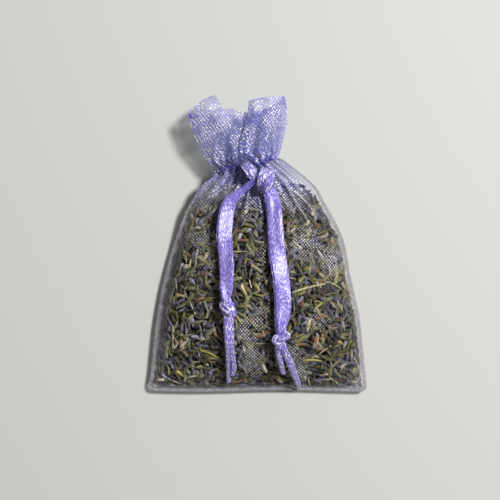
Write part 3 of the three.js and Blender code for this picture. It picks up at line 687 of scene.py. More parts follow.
def turn_band(name, top, bottom, wide, deep, angles, pitch, width, arch, material):
    """A band of ribbon round a strand, between two angles given in half turns."""
    down = unit(bottom - top)
    side = unit(np.cross(down, UP))
    up = np.cross(down, side)
    up = up * np.sign(up[2])
    share = np.linspace(0, 1, TURN_ROWS)
    angle = math.pi * mix(*angles, share)
    aside, above = side * np.cos(angle)[:, None], up * np.sin(angle)[:, None]
    line = (top + bottom) / 2 + aside * wide + above * deep + down * (pitch * (share - 0.5))[:, None]
    widths = width * (0.6 + 0.4 * np.sin(angle) ** 2)
    return ribbon_band(name, line, unit(aside / wide + above / deep), widths,
                       np.full(TURN_ROWS, arch), 3.2, material)


def knot_core(name, top, bottom, half_wide, material):
    """The bunched strand that runs through a knot, a little past both its ends."""
    down = unit(bottom - top)
    share = np.linspace(0, 1, KNOT_CORE_ROWS)[:, None]
    line = mix(top - down * KNOT_CORE_ABOVE, bottom + down * KNOT_CORE_BELOW, share)
    return bunched_strand(name, line, UP, half_wide, KNOT_CORE_DEPTH, FLUTES, material)


def knot_ring(name, middle, radius, begin, end, tilt, half_wide, material):
    """A small open turn of bunched ribbon about a point; begin and end are angles in degrees."""
    angle = np.radians(np.linspace(begin, end, KNOT_ROWS))[:, None]
    lean = math.radians(tilt)
    across = np.array([math.cos(lean), 0, math.sin(lean)])
    line = middle + radius * (across * np.cos(angle) + np.array(RING_TIP) * np.sin(angle))
    ups = np.cross(across, RING_TIP)
    return bunched_strand(name, line, ups, half_wide, half_wide * 1.1, FLUTES, material)


def knot_roll(name, rows, flutes, material):
    """A bunched roll over a knot, through rows of x, drop below the neck, lift, half width and depth."""
    rows = np.array(rows, float)
    points = np.concatenate([over_cloth(rows[:, 0], rows[:, 1], rows[:, 2]), rows[:, 3:]], axis=1)
    points = curve_through(points, KNOT_ROWS)
    return bunched_strand(name, points[:, :3], UP, points[:, 3], points[:, 4], flutes, material)


left_top, left_foot = over_cloth(-10.1, 46.0, 1.3), over_cloth(-9.3, 52.0, 1.2)
left_knot = joined(
    knot_roll("left_tail_knot_ribbon", [
        [-11.7, 46.5, 0.3, 0.8, 0.5], [-11.3, 47.3, 1.4, 1.4, 0.8], [-10.3, 48.3, 2.1, 1.7, 1.0],
        [-9.1, 49.4, 2.1, 1.75, 1.0], [-8.1, 50.4, 1.5, 1.5, 0.8], [-7.7, 51.1, 0.3, 0.9, 0.5],
    ], 7, satin_bunched_painted_glints),
    knot_roll("left_under_roll", [
        [-8.3, 46.6, 0.3, 0.7, 0.5], [-8.6, 47.4, 1.3, 1.1, 0.7], [-9.6, 48.4, 1.7, 1.3, 0.8],
        [-10.7, 49.6, 1.3, 1.1, 0.7], [-11.0, 50.4, 0.3, 0.7, 0.5],
    ], FLUTES, satin_left),
    knot_core("left_core", left_top, left_foot, 1.5, satin_bunched_painted_glints))
right_top, right_foot = over_cloth(8.3, 55.4, 1.3), over_cloth(7.6, 61.2, 1.4)
right_knot = joined(
    knot_ring("right_tail_knot_ribbon", over_cloth(6.6, 59.0, 2.1), 1.15, -40, 320, -18, 0.66, satin_tie_painted_glints),
    knot_ring("right_ring", over_cloth(9.5, 57.6, 2.0), 0.85, 140, 500, 20, 0.56, satin_tie_painted_glints),
    turn_band("right_turn", right_top, right_foot, wide=1.6, deep=1.5, angles=(1.3, -0.4), pitch=2.2,
              width=2.2, arch=0.5, material=satin_bunched_painted_glints),
    knot_core("right_core", right_top, right_foot, 1.2, satin_bunched_painted_glints))
print("end knots", len(left_knot.data.polygons) + len(right_knot.data.polygons), "faces")

# %% [markdown]
# Below each knot the two cut ends of the cord lie side by side, folded lengthwise and narrow. They
# follow the cloth down the steep foot of the pouch, and one end of each pair is a little shorter.

# %% Loose ends
END_STEP = 0.2
END_DEPTH = 0.26  # half the depth of an end, as a share of its width
LOOSE_ENDS = [
    ("left_short_end_ribbon",
     [[-9.0, 50.2], [-8.8, 54.0], [-8.6, 59.0], [-8.3, 64.6], [-7.9, 68.8], [-8.4, 71.0]],
     [(0, 1.3), (0.3, 0.9), (0.9, 0.8), (1, 1.4)],
     [(0, 2.0), (0.3, 1.8), (0.5, 1.7), (0.9, 1.8), (1, 1.2)]),
    ("left_long_end_ribbon",
     [[-10.1, 50.2], [-10.0, 54.0], [-9.9, 59.0], [-9.7, 66.3], [-9.6, 73.4]],
     [(0, 1.4), (0.3, 1.1), (1, 0.6)],
     [(0, 2.2), (0.3, 2.1), (0.5, 1.5), (1, 1.3)]),
    ("right_short_end_ribbon",
     [[6.9, 60.0], [7.0, 63.2], [7.6, 65.8], [8.9, 70.4]],
     [(0, 1.5), (0.5, 0.9), (1, 0.7)],
     [(0, 1.9), (0.6, 1.8), (1, 1.4)]),
    ("right_long_end_ribbon",
     [[8.0, 60.0], [9.3, 63.2], [10.8, 66.3], [12.8, 71.1], [14.4, 75.3]],
     [(0, 1.5), (0.5, 0.9), (1, 0.6)],
     [(0, 2.2), (0.4, 2.4), (0.9, 1.7), (1, 1.2)]),
]
loose_ends = []
for name, path, lifts, widths in LOOSE_ENDS:
    line, ups, share = laid_line(path, lifts, END_STEP, 1)
    width = through(widths, share)
    loose_ends.append(bunched_strand(name, line, ups, width / 2, END_DEPTH * width, FLUTES, satin_bunched_painted_glints))
left_short, left_long, right_short, right_long = loose_ends
print("loose ends", [piece.name for piece in loose_ends])

# %% [markdown]
# Inside the casing each drawcord runs half way round the neck, bunched to a thick strand. It shows
# through the sheer cloth as a violet band on both sides of the tie. Each half is a fluted tube along
# an oval about the neck, a little higher on the right, because the neck is drawn in aslant.

# %% Drawcords in the casing
CORD_HALF_WIDTH = 9.4
CORD_HALF_DEPTH = 1.1
CORD_RISE = 0.9
CORD_ROWS = 90
CORD_THICK = (0.95, 0.5)  # half its width and depth
NECK_SLANT_LEFT = -1.8
NECK_SLANT_RIGHT = 3.2


def neck_slant(u):
    """How far the gathered neck lies above its middle line; u runs from -1 to 1 across it."""
    return np.where(u < 0, -NECK_SLANT_LEFT * u, NECK_SLANT_RIGHT * u)


def drawcord(name, begin, end, material):
    """A drawcord between two angles about the neck, in degrees from +X towards +Z."""
    angle = np.radians(np.linspace(begin, end, CORD_ROWS))
    x = NECK_SHIFT + CORD_HALF_WIDTH * np.cos(angle)
    z = NECK_HEIGHT + CORD_HALF_DEPTH * np.sin(angle)
    u = np.clip((x - NECK_SHIFT) / (NECK_WIDTH / 2), -1, 1)
    y = BODY_LENGTH - LENGTH / 2 + CORD_RISE + neck_slant(u)
    ups = np.stack([np.cos(angle), 0 * angle, np.sin(angle)], axis=-1)
    return bunched_strand(name, np.stack([x, y, z], axis=-1), ups, *CORD_THICK, FLUTES, material)


left_cord = drawcord("left_drawcord_ribbon", 98, 268, satin_left)
right_cord = drawcord("right_drawcord_ribbon", -88, 76, satin_right)
print("drawcords", len(left_cord.data.polygons) + len(right_cord.data.polygons), "faces")

# %% [markdown]
# Organza is an open plain weave of fine shiny nylon. Over a pale table its threads show grey or lilac.
# Over dark buds they all but vanish. Where the crossings face the lamp their bumps catch it, and over
# that they are painted near white in rows of dots, strongest where the cloth says so: painted glints.
# The weave is drawn at 0.6 mm, about twice the real pitch, so that it shows. Each point of the cloth
# says how densely the threads cover what is behind, how strongly its crossings are painted as glints
# and how lilac the yarn looks. Where the threads crowd, the crossings wander out of their rows.

# %% Organza finish
WEAVE_PITCH = 0.59


def organza(name, thin, thread, deep, glint_paint):
    """Sheer cloth: thin, thread and deep are its grey, lilac and crowded yarn; the last is its painted
    glint.
    """
    material = new_material(name)
    flat = add(material, "UVMap", uv_map="cloth_mm")
    drift = add(material, "TexNoise", {"Vector": flat, "Scale": 1 / 16, "Detail": 0.0})
    place = add(material, "VectorMath", {0: drift.outputs["Color"], 1: (2.0, 2.0, 0), 2: flat},
                operation="MULTIPLY_ADD")
    density = add(material, "Attribute", attribute_name="thread_cover")
    loose = add(material, "MapRange", {"Value": density.outputs["Fac"], "From Min": 0.42, "From Max": 0.54,
                                       "To Max": 0.9})
    wander = add(material, "TexNoise", {"Vector": flat, "Scale": 1 / 1.1, "Detail": 0.0})
    aside = add(material, "VectorMath", {0: wander.outputs["Color"], "Scale": loose}, operation="SCALE")
    thread_place = add(material, "VectorMath", {0: place, 1: aside}, operation="ADD")
    apart = add(material, "SeparateXYZ", {"Vector": thread_place})
    waves = []
    for axis in "XY":
        turned = add(material, "Math", {0: apart.outputs[axis], 1: math.pi / WEAVE_PITCH},
                     operation="MULTIPLY")
        waves.append(add(material, "Math", {0: turned}, operation="COSINE"))
    over = add(material, "Math", {0: waves[0], 1: waves[1]}, operation="MULTIPLY")
    dots = add(material, "MapRange", {"Value": over, "From Min": 0.08, "From Max": 0.4})
    # Painted glints: the sparkle attribute, noise patches and random twinkles say where crossings are
    # painted near white.
    patches = add(material, "TexNoise", {"Vector": place, "Scale": 1 / 1.4, "Detail": 2.0})
    sparkle = add(material, "Attribute", attribute_name="sparkle")
    painted_glint_level = add(material, "Math", {0: sparkle.outputs["Fac"], 1: 0.29, 2: patches.outputs["Fac"]},
                      operation="MULTIPLY_ADD")
    painted_lit = add(material, "MapRange", {"Value": painted_glint_level, "From Min": 0.51, "From Max": 0.68})
    single = add(material, "TexNoise", {"Vector": place, "Scale": 1 / 0.6, "Detail": 0.0})
    faint = add(material, "MapRange", {"Value": density.outputs["Fac"], "From Min": 0.12, "From Max": 0.4,
                                       "To Min": 0.7, "To Max": 0.2})
    strong = add(material, "MapRange", {"Value": density.outputs["Fac"], "From Min": 0.12, "From Max": 0.4,
                                        "To Min": 1.15, "To Max": 2.6})
    twinkle = add(material, "MapRange", {"Value": single.outputs["Fac"], "From Min": 0.44, "From Max": 0.6,
                                         "To Min": faint, "To Max": strong})
    seen = add(material, "Math", {0: painted_lit, 1: twinkle}, operation="MULTIPLY")
    painted_glitter = add(material, "Math", {0: dots, 1: seen}, operation="MULTIPLY", use_clamp=True)
    crowded = add(material, "MapRange", {"Value": density.outputs["Fac"], "From Min": 0.5, "From Max": 0.9})
    tint = add(material, "Attribute", attribute_name="tint")
    yarn = add(material, "Mix", {"Factor": tint.outputs["Fac"], "A": linear(thin), "B": linear(thread)},
               data_type="RGBA")
    deepened = add(material, "Math", {0: crowded, 1: tint.outputs["Fac"]}, operation="MULTIPLY")
    dye = add(material, "Mix", {"Factor": deepened, "A": yarn.outputs["Result"], "B": linear(deep)},
              data_type="RGBA")
    relief = add(material, "Bump", {"Height": over, "Strength": 1.0, "Distance": 0.07 * MM})
    # Painted highlight: the yarn is mixed towards the glint colour on the crossings, which also cover more
    # there.
    paint = add(material, "Mix", {"Factor": painted_glitter, "A": dye.outputs["Result"], "B": linear(glint_paint)},
                data_type="RGBA")
    body = add(material, "BsdfPrincipled", {"Base Color": paint.outputs["Result"], "Roughness": 0.34,
                                            "Normal": relief, "IOR": 1.53, "Specular IOR Level": 0.5,
                                            "Sheen Weight": 0.04})
    uneven = add(material, "Math", {0: over, 1: 0.2, 2: 1.0}, operation="MULTIPLY_ADD")
    veil = add(material, "Math", {0: uneven, 1: density.outputs["Fac"]}, operation="MULTIPLY")
    cover = add(material, "Math", {0: painted_glitter, 1: sparkle.outputs["Fac"], 2: veil}, operation="MULTIPLY_ADD",
                use_clamp=True)
    clear = add(material, "BsdfTransparent", {"Color": linear("#FFFFFF")})
    surface = add(material, "MixShader", {0: cover, 1: clear, 2: body})
    add(material, "OutputMaterial", {"Surface": surface})
    return material


# The last colour of each finish is its painted glint.
cloth_finish = organza("nylon organza, plain woven and dyed lilac", "#A7A5B4", "#8284D2", "#6A5FC4",
                       "#FBFAFF")
seam_finish = organza("nylon organza, overlocked double seam", "#A9A7AC", "#A9A7AC", "#A9A7AC", "#D8D6DE")


def set_points(piece, **values):
    """Stores a number for each point of a piece under each name."""
    for name, numbers in values.items():
        layer = piece.data.attributes.new(name, "FLOAT", "POINT")
        layer.data.foreach_set("value", np.asarray(numbers, np.float32).ravel())


print("organza", [cloth_finish.name, seam_finish.name])

# %% [markdown]
# The cloth is one sheet from the bottom edge through the neck to the mouth. At the neck its 75 mm are
# drawn into 21 mm, so it stands in pleats that lean over each other, crowd towards the tie and run
# out down the body, each at its own length. These values and helpers describe the gathers.

# %% Gathers
CLOTH_COLUMNS = 281
PLEAT_COUNT = 13
PLEAT_DEPTH = 2.4
PLEAT_FADE = 1.8
EDGE_FADE = 2.5
TIE_U = 0.33
CROWDING = 0.55
cloth_u = np.linspace(-1, 1, CLOTH_COLUMNS)


def pleats(seed):
    """For each column: the pleat's phase, depth share, reach down the body in mm, and lean."""
    random = np.random.default_rng(seed)
    ends = np.concatenate([[0], np.cumsum(random.uniform(0.55, 1.5, PLEAT_COUNT))])
    ends = 2 * ends / ends[-1] - 1
    middles = (ends[1:] + ends[:-1]) / 2
    phase = 2 * math.pi * np.interp(cloth_u, ends, np.arange(PLEAT_COUNT + 1))
    depth, reach, lean = [np.interp(cloth_u, middles, random.uniform(low, high, PLEAT_COUNT))
                          for low, high in [(0.6, 1.25), (12, 34), (-0.95, 0.95)]]
    return phase, depth, reach, lean


def crowd(u):
    """Moves places across the neck towards the tie."""
    off = u - TIE_U
    room = np.where(off < 0, 1 + TIE_U, 1 - TIE_U)
    share = np.abs(off) / room
    return TIE_U + np.sign(off) * room * mix(share, share ** 2, CROWDING)


def gathered(t, depth, reach, from_edge):
    """Depth of the pleats at height t, in mm."""
    full = np.clip((t - BODY_LENGTH + reach) / reach, 0, 1) ** PLEAT_FADE * depth * PLEAT_DEPTH
    return full * np.clip(from_edge / EDGE_FADE, 0.1, 1)


front_pleats = pleats(5)
back_pleats = pleats(9)
print("pleats", PLEAT_COUNT, "a side, up to", PLEAT_DEPTH, "mm deep")

# %% [markdown]
# Besides the pleats, long soft folds run out from the tie over the front, and the buds below make the
# cloth uneven. The unevenness is a sum of waves in random directions.

# %% Soft folds and unevenness
# Each fold: x and t where it starts and where it ends, then its width and height.
SOFT_FOLDS = [
    [-8.6, 72.0, -21.0, 63.0, 0.6, 0.9], [-7.6, 67.5, -25.0, 52.6, 0.6, 0.8],
    [-6.0, 70.5, -17.0, 57.0, 0.6, 0.6], [8.4, 74.4, 19.0, 68.0, 0.6, 0.9],
    [8.2, 72.5, 20.8, 50.5, 0.6, 0.9], [6.4, 71.0, 13.0, 56.5, 0.6, 0.7],
    [-3.0, 68.0, -4.8, 57.0, 0.6, 0.6], [0.4, 68.0, 2.0, 55.0, 0.6, 0.6],
    [9.5, 71.0, 24.0, 57.0, 0.6, 0.7],
]


def ripple(x, y, seed, shortest, longest, count=24):
    """A gentle unevenness about 0, as a sum of waves in random directions."""
    random = np.random.default_rng(seed)
    total = np.zeros(np.broadcast(x, y).shape)
    for wave in range(count):
        turn, phase = random.uniform(0, 2 * math.pi, 2)
        scale = 2 * math.pi / random.uniform(shortest, longest)
        total = total + np.sin(scale * (x * math.cos(turn) + y * math.sin(turn)) + phase)
    return total / math.sqrt(count)


def soft_folds(x, t):
    """Height of the long soft folds that run out from the tie."""
    total = 0 * x
    for x0, t0, x1, t1, width, height in SOFT_FOLDS:
        run_x, run_t = x1 - x0, t1 - t0
        share = np.clip(((x - x0) * run_x + (t - t0) * run_t) / (run_x ** 2 + run_t ** 2), 0, 1)
        away = np.hypot(x - x0 - share * run_x, t - t0 - share * run_t)
        total = total + height * hump(away, 0, width) * (1 - smooth(share, 0.45, 1))
    return total


print("soft folds", len(SOFT_FOLDS))

# %% [markdown]
# In the body the cloth follows the pouch's curves, sinks into its pleats and gets a fine unevenness
# from the buds under it. Front and back meet in the seam, over a narrow strip.

# %% Points of the body cloth
NECK_START = 0.8  # share of the body where the cloth turns to the neck
NECK_FULLNESS = 2.0
PINCH_WIDTH = 0.7  # front and back meet in the seam over this width
FOLD_FADE = 5
CREST_POWER = 1.3  # pleats are broad on top and narrow between
PLEAT_LEAN = 0.45
UNEVEN = 0.13
BACK_CLEAR = 0.12
BACK_FOLD = 0.08
BOTTOM_WAVE = 0.3
NECK_RISE = neck_slant(cloth_u)


def body_row(t, front, pleat, seed):
    """One row of the body cloth: its points, and the cover, sparkle and tint of its threads."""
    phase, depth, reach, lean = pleat
    side = 1 if front else -1
    half = half_width(t)
    middle = centre_line(t)
    neckward = smooth(body_share(t), NECK_START, 1)
    u = mix(cloth_u, crowd(cloth_u), neckward)
    x = u * half
    inner = half - FLANGE * (1 - 0.85 * neckward)
    fullness = mix(FRONT_FULLNESS, NECK_FULLNESS, neckward) if front else BACK_FULLNESS
    foot = seam_height(t) + side * (GAP / 2 + CLOTH)
    top = crown(t) if front else hollow(t)
    z = foot + (top - foot) * across_profile(x / inner, fullness) * bottom_profile(t)
    from_edge = np.minimum(half * (1 - np.abs(u)), t)
    pinch = np.sqrt(np.clip(1 - (1 - np.clip(from_edge / PINCH_WIDTH, 0, 1)) ** 2, 0, 1))
    z = mix(seam_height(t), z, pinch)
    gather = gathered(t, depth, reach, from_edge)
    crest = -np.abs(np.sin(phase / 2)) ** CREST_POWER
    inside = np.clip(from_edge / FOLD_FADE, 0, 1)
    z = z + side * (gather * crest + UNEVEN * inside * ripple(x, t, seed + 1, 2.8, 7))
    fold = soft_folds(x + middle, t) * inside if front else 0 * x
    if front:
        z = z + fold - dimple(x + middle, t)
    else:
        z = np.maximum(z, BACK_CLEAR - BACK_FOLD * crest)
    x = x + middle + lean * gather * np.cos(phase) * PLEAT_LEAN + side_ease(u, t)
    rise = NECK_RISE * np.clip((body_share(t) - 0.9) / 0.1, 0, 1) ** 6
    wave = BOTTOM_WAVE * np.sin((x + 6) / 9.5) * math.exp(-t / 5)
    points = np.stack([x, t + rise + wave - LENGTH / 2, z], axis=-1)
    valley = gather / PLEAT_DEPTH * -crest
    return (points, *body_threads(x, t, from_edge, fold, valley, front))


print("neck lies from", round(NECK_RISE[0], 1), "to", round(NECK_RISE[-1], 1), "mm off its middle")

# %% [markdown]
# The threads of the body are thin over the buds. They cover more at the rim, on the empty shoulders,
# in the folds and close to the tie. The rim takes more on the left, away from the lamp: painted light.
# The fold crests and a line above the bottom seam take more as painted highlights, and pleat valleys
# take more, partly for the overlapped cloth and partly as painted shade. The crossings are painted
# near white on the folds, on the pleat crests by the neck and in patches, of which the clearest are
# listed: painted glints. Towards the neck, where the cloth gathers, the yarn looks lilac.

# %% Threads of the body cloth
FILL_TOP = 71.0
FILL_DROP = 6  # the fill ends this much lower at the sides
FILL_HALF = 24
LEAST_COVER = 0.004
RIM_COVER = 0.22
LEFT_SHOULDER_COVER = 0.66
SHOULDER_COVER = 0.36
FOLD_HIGHLIGHT_COVER = 0.3
CREASE_HIGHLIGHT_COVER = 0.25
VALLEY_SHADE_COVER = 0.18
NECK_COVER = 0.14
TIGHT_COVER = 0.36
BACK_COVER = 0.5
# Each spot: x and t of its middle, half its width and height, and how strongly it is painted with glints.
PAINTED_SPARKLE_SPOTS = [
    [-1.6, 11.5, 3.6, 8.0, 1.0], [-4.2, 21.0, 2.4, 5.0, 0.8], [11.7, 13.6, 2.2, 4.0, 0.8],
    [15.0, 7.0, 2.8, 6.0, 1.0], [0.8, 26.0, 3.0, 5.0, 0.7], [5.4, 32.6, 2.0, 4.0, 0.5],
    [16.0, 50.5, 6.0, 7.0, 0.85], [25.2, 44.0, 4.0, 7.0, 0.9], [-20.0, 52.0, 6.0, 5.0, 0.8],
    [10.5, 64.0, 6.0, 5.0, 0.6], [-3.0, 62.0, 4.5, 5.0, 0.5], [-15.0, 68.5, 7.0, 3.0, 0.25],
    [-6.5, 73.5, 4.0, 3.0, 1.0], [0.0, 69.0, 4.0, 3.5, 0.9], [-21.0, 38.0, 5.0, 6.0, 0.45],
]


def fill_top(x):
    return FILL_TOP - FILL_DROP * np.clip(np.abs(x) / FILL_HALF, 0, 1) ** 2


def body_threads(x, t, from_edge, fold, valley, front):
    """The cover, sparkle and tint of the threads in one row of the body cloth."""
    right = smooth(x, -30, 30)
    # Painted light: the rim on the left, away from the lamp, takes more thread than the right.
    rim = 1 - smooth(from_edge, 0.5, mix(6.5, 5.0, right))
    rim = rim * mix(1.3, 0.9, right) * mix(0.3, 1, smooth(t, 2, 8))
    # Painted highlight: a denser line of thread just above the bottom seam.
    crease_highlight = hump(t, FLANGE + 0.5, 0.4) * np.clip(from_edge / FLANGE, 0, 1)
    empty = smooth(t - fill_top(x), -9, 4)
    shoulder = mix(LEFT_SHOULDER_COVER, SHOULDER_COVER, smooth(x, -14, -4))
    tight = 0.8 * hump(x, -6, 7) * smooth(t, 68.5, 73.5)
    tight = tight + 0.6 * hump(x, 0, 8) * plateau(t, 59, 67, 70, 75)
    bare = smooth(x, 5, 13) * (1 - smooth(from_edge, 3, 7)) * smooth(t, 57, 66)
    open_right = smooth(x, 4, 14) * smooth(from_edge, 3, 8) * (1 - smooth(t, 56, 65))
    cover = LEAST_COVER + np.maximum(RIM_COVER * rim, shoulder * empty)
    # Fold crests take more thread as painted highlight; pleat valleys take more, partly for the overlapped
    # cloth and partly as painted shade.
    cover = cover + FOLD_HIGHLIGHT_COVER * np.clip(fold, 0, 1) + CREASE_HIGHLIGHT_COVER * crease_highlight + VALLEY_SHADE_COVER * valley
    cover = cover + NECK_COVER * smooth(t, 72, BODY_LENGTH) + TIGHT_COVER * tight
    cover = cover * (1 - 0.55 * bare) * (1 - 0.6 * open_right) * (1 if front else BACK_COVER)
    # Painted glints: random patches, the listed spots, the folds and the pleat crests by the neck.
    painted_patches = np.clip(0.08 + 0.26 * ripple(x, t, 31, 9, 26), 0.0, 0.45)
    spots = sum(clear * hump(x, spot_x, wide) * hump(t, spot_t, high)
                for spot_x, spot_t, wide, high, clear in PAINTED_SPARKLE_SPOTS)
    painted_neck_gloss = mix(0.1, 0.5, smooth(x, -16, -4)) * smooth(t, 64, 74) * (1 - valley)
    spots = np.maximum(spots, 1.2 * fold) + painted_neck_gloss
    sparkle = 0.95 * np.clip(np.maximum(painted_patches, spots), 0, 1) * (1 - 0.5 * bare)
    tint = smooth(t, 58, 76) * mix(0.4, 1, smooth(x, -12, 0))
    tint = np.maximum(tint, hump(x, 0, 9) * smooth(t, 50, 60))
    return cover, sparkle, tint


print("spots that sparkle", len(PAINTED_SPARKLE_SPOTS))

# %% [markdown]
# Above the neck the cloth opens into a ruffle. Its front is a broad left lobe and a higher right lobe
# that folds over it, and its back shows as a thin flap behind the left lobe. The edges of the lobes
# are given curves; between them the cloth is eased from the neck's pleats to the open mouth.

# %% Edges of the ruffle
LEFT_EDGE = [(0, -14.0), (0.1, -16.2), (0.38, -19.3), (0.7, -22.1), (1, -23.5)]
FOLD_EDGE = [(0, -0.8), (0.06, -3.2), (0.17, -6.6), (0.3, -6.2), (0.5, -4.9), (0.75, -3.4), (1, -2.8)]
RIGHT_EDGE = [(0, 7.5), (0.32, 9.1), (0.565, 10.5), (0.81, 10.3), (1, 9.7)]
UNDER_FOLD = 3.2
FOLD_U = 0.06
FOLD_END_U = 0.15
FRONT_MOUTH = [(-1, 94.8), (-0.68, 95.8), (-0.36, 96.2), (-0.05, 94.9), (FOLD_U, 94.2),
               (FOLD_END_U, 98.8), (0.5, 100.0), (0.97, 101.2), (1, 101.0)]
FRONT_RISE = [(-1, 10.2), (-0.85, 11.2), (-0.5, 12.0), (-0.2, 11.2), (FOLD_U, 9.0),
              (FOLD_END_U, 12.6), (0.3, 13.4), (0.55, 13.0), (0.8, 11.4), (1, 7.4)]
BACK_MOUTH = [(-1, 94.9), (-0.92, 96.8), (-0.75, 99.4), (-0.55, 101.3), (-0.45, 101.8), (-0.36, 99.6),
              (-0.27, 96.6), (0, 95.0), (0.3, 96.0), (0.7, 98.5), (1, 101.0)]
BACK_RISE = [(-1, 10.2), (-0.8, 8.6), (-0.45, 7.6), (-0.2, 4.4), (0.1, 2.4), (0.4, 2.8), (0.7, 3.8),
             (0.9, 5.4), (1, 7.4)]


def front_lobes(w):
    """Where each column of the front ruffle lies across the picture, w of the way up from the neck."""
    left, fold, right = [through(edge, w) for edge in (LEFT_EDGE, FOLD_EDGE, RIGHT_EDGE)]
    under = fold + UNDER_FOLD * smooth(w, 0.02, 0.25)
    return np.interp(cloth_u, [-1, FOLD_U, FOLD_END_U, 1], [left, under, fold, right])


def back_lobe(w):
    return mix(through(LEFT_EDGE, w), through(RIGHT_EDGE, w), (cloth_u + 1) / 2)


print("mouth", round(through(RIGHT_EDGE, 1) - through(LEFT_EDGE, 1), 1), "mm wide")

# %% [markdown]
# The rows of the ruffle start from the neck's last row, with its pleats, and open to the mouth. A few
# soft folds run up into the lobes. The threads cover more than in the body, most at hem and corners.

# %% Rows of the ruffle
# Each fold: its place across the cloth, its width and height, and how far up it runs.
LOBE_FOLDS = [
    [-0.72, 0.07, 0.5, 0.9], [-0.5, 0.08, -0.7, 0.7], [-0.3, 0.07, 0.8, 0.75], [-0.12, 0.06, -0.8, 0.6],
    [0.3, 0.06, 0.5, 0.6], [0.42, 0.05, -0.9, 0.75], [0.56, 0.06, 0.7, 0.7], [0.74, 0.06, -0.6, 0.5],
]
LEFT_LOBE_COVER = 0.5
RIGHT_LOBE_COVER = 0.56
BACK_TINT = 0.4


def lobe_folds(w):
    """Height of the soft folds that run up from the neck into the lobes, each with its own reach."""
    total = 0 * cloth_u
    for place, width, height, reach in LOBE_FOLDS:
        total = total + height * hump(cloth_u, place, width) * (1 - smooth(w, 0.15, reach))
    return total * smooth(w, 0, 0.15)


def ruffle_row(w, front, pleat, neck_row, seed):
    """One row of the ruffle, w of the way from the neck to the mouth."""
    phase, _, _, lean = pleat
    edge = np.clip((1 - np.abs(cloth_u)) * 6, 0.1, 1)
    neck_x, neck_y, neck_z = neck_row.T
    plain_z = softened(neck_z, 15)
    mouth, rise = (FRONT_MOUTH, FRONT_RISE) if front else (BACK_MOUTH, BACK_RISE)
    mouth_t = softened(through(mouth, cloth_u), 1)
    mouth_z = softened(through(rise, cloth_u), 2)
    t = mix(neck_y + LENGTH / 2, mouth_t, w)
    x = mix(neck_x, front_lobes(w) if front else back_lobe(w), smooth(w, 0, 0.14))
    z = mix(plain_z, mouth_z, smooth(w, 0, 0.7)) + (neck_z - plain_z) * (1 - smooth(w, 0, 0.34))
    if front:
        z = z + lobe_folds(w)
    z = z + 0.2 * w * edge * ripple(cloth_u * 17, t * 0.8, seed + 2, 4, 12)
    x = x + lean * edge * 0.4 * np.cos(phase) * plateau(w, 0, 0.1, 0.1, 0.4)
    points = np.stack([x, t - LENGTH / 2, np.maximum(z, 0.3)], axis=-1)
    return (points, *ruffle_threads(x, t, w, front))


def ruffle_threads(x, t, w, front):
    """The cover, sparkle and tint of the threads in one row of the ruffle."""
    right_lobe = smooth(cloth_u, FOLD_U, FOLD_END_U)
    corner = smooth(np.abs(cloth_u), 0.92, 0.98) * smooth(w, 0.75, 0.95)
    hem = smooth(w, 0.955, 0.985)
    cover = mix(LEFT_LOBE_COVER, RIGHT_LOBE_COVER, right_lobe) + 0.08 * (1 - smooth(w, 0, 0.35))
    cover = cover + 0.5 * corner + 0.1 * hem
    # Painted glints: patches of sparkle, fewer towards the neck and on the right lobe, and far fewer on the
    # back ply, which faces away from the lamp.
    sparkle = np.clip(0.5 + 0.7 * ripple(x, t, 41, 5, 14), 0.05, 1) * mix(0.55, 1, smooth(w, 0.2, 0.6))
    sparkle = np.clip(sparkle * mix(1.2, 0.85, right_lobe), 0, 1)
    if not front:
        sparkle = 0.4 * sparkle
        cover = 1.1 * cover * mix(1, 0.3, smooth(np.abs(cloth_u), 0.86, 0.93) * (1 - corner))
        cover = cover * mix(1, 1.25, smooth(w, 0.7, 0.95))
    return cover, sparkle, np.full(CLOTH_COLUMNS, 1.0 if front else BACK_TINT)


print("folds in the lobes", len(LOBE_FOLDS))

# %% [markdown]
# Now the two sheets are made, front and back, with rows from the bottom edge up. Their rows stand
# closer at both ends of the body. The UV map is measured on the cloth with its small folds smoothed
# out, so that the weave runs straight over them.

# %% Two sheets of cloth
BODY_ROWS = 180
RUFFLE_ROWS = 70


def calmed(grid, axis, reach):
    """The grid with its small folds averaged away along one axis; its ends run on straight."""
    window = np.ones(2 * reach + 1) / (2 * reach + 1)

    def average(line):
        longer = np.pad(line, reach, mode="reflect", reflect_type="odd")
        return np.convolve(longer, window, mode="valid")

    return np.apply_along_axis(average, axis, grid)


def flat_measure(grid):
    """Each point's place on the cloth: the length across its row, and up the middle column."""
    plain = calmed(calmed(grid, 1, 16), 0, 10)
    middle = CLOTH_COLUMNS // 2
    across = np.cumsum(np.linalg.norm(np.diff(plain, axis=1, prepend=plain[:, :1]), axis=2), axis=1)
    return paired(across - across[:, [middle]], running_length(plain[:, middle])[:, None])


def pouch_cloth(name, front, pleat, seed):
    """The front or back cloth as a sheet from the bottom edge to the mouth."""
    heights = BODY_LENGTH * (1 - (1 - np.linspace(0, 1, BODY_ROWS) ** 1.25) ** 1.5)
    rows = [body_row(t, front, pleat, seed) for t in heights]
    neck_row = rows[-1][0]
    rows += [ruffle_row(w, front, pleat, neck_row, seed) for w in np.linspace(0, 1, RUFFLE_ROWS + 1)[1:]]
    grid, covers, sparkles, tints = [np.array(values) for values in zip(*rows)]
    piece = sheet_piece(name, grid, flat_measure(grid), cloth_finish)
    set_points(piece, thread_cover=covers, sparkle=sparkles, tint=tints)
    return piece, grid


front_cloth, front_grid = pouch_cloth("front_cloth", True, front_pleats, 5)
back_cloth, back_grid = pouch_cloth("back_cloth", False, back_pleats, 9)
print("cloth", len(front_cloth.data.polygons) + len(back_cloth.data.polygons), "faces")

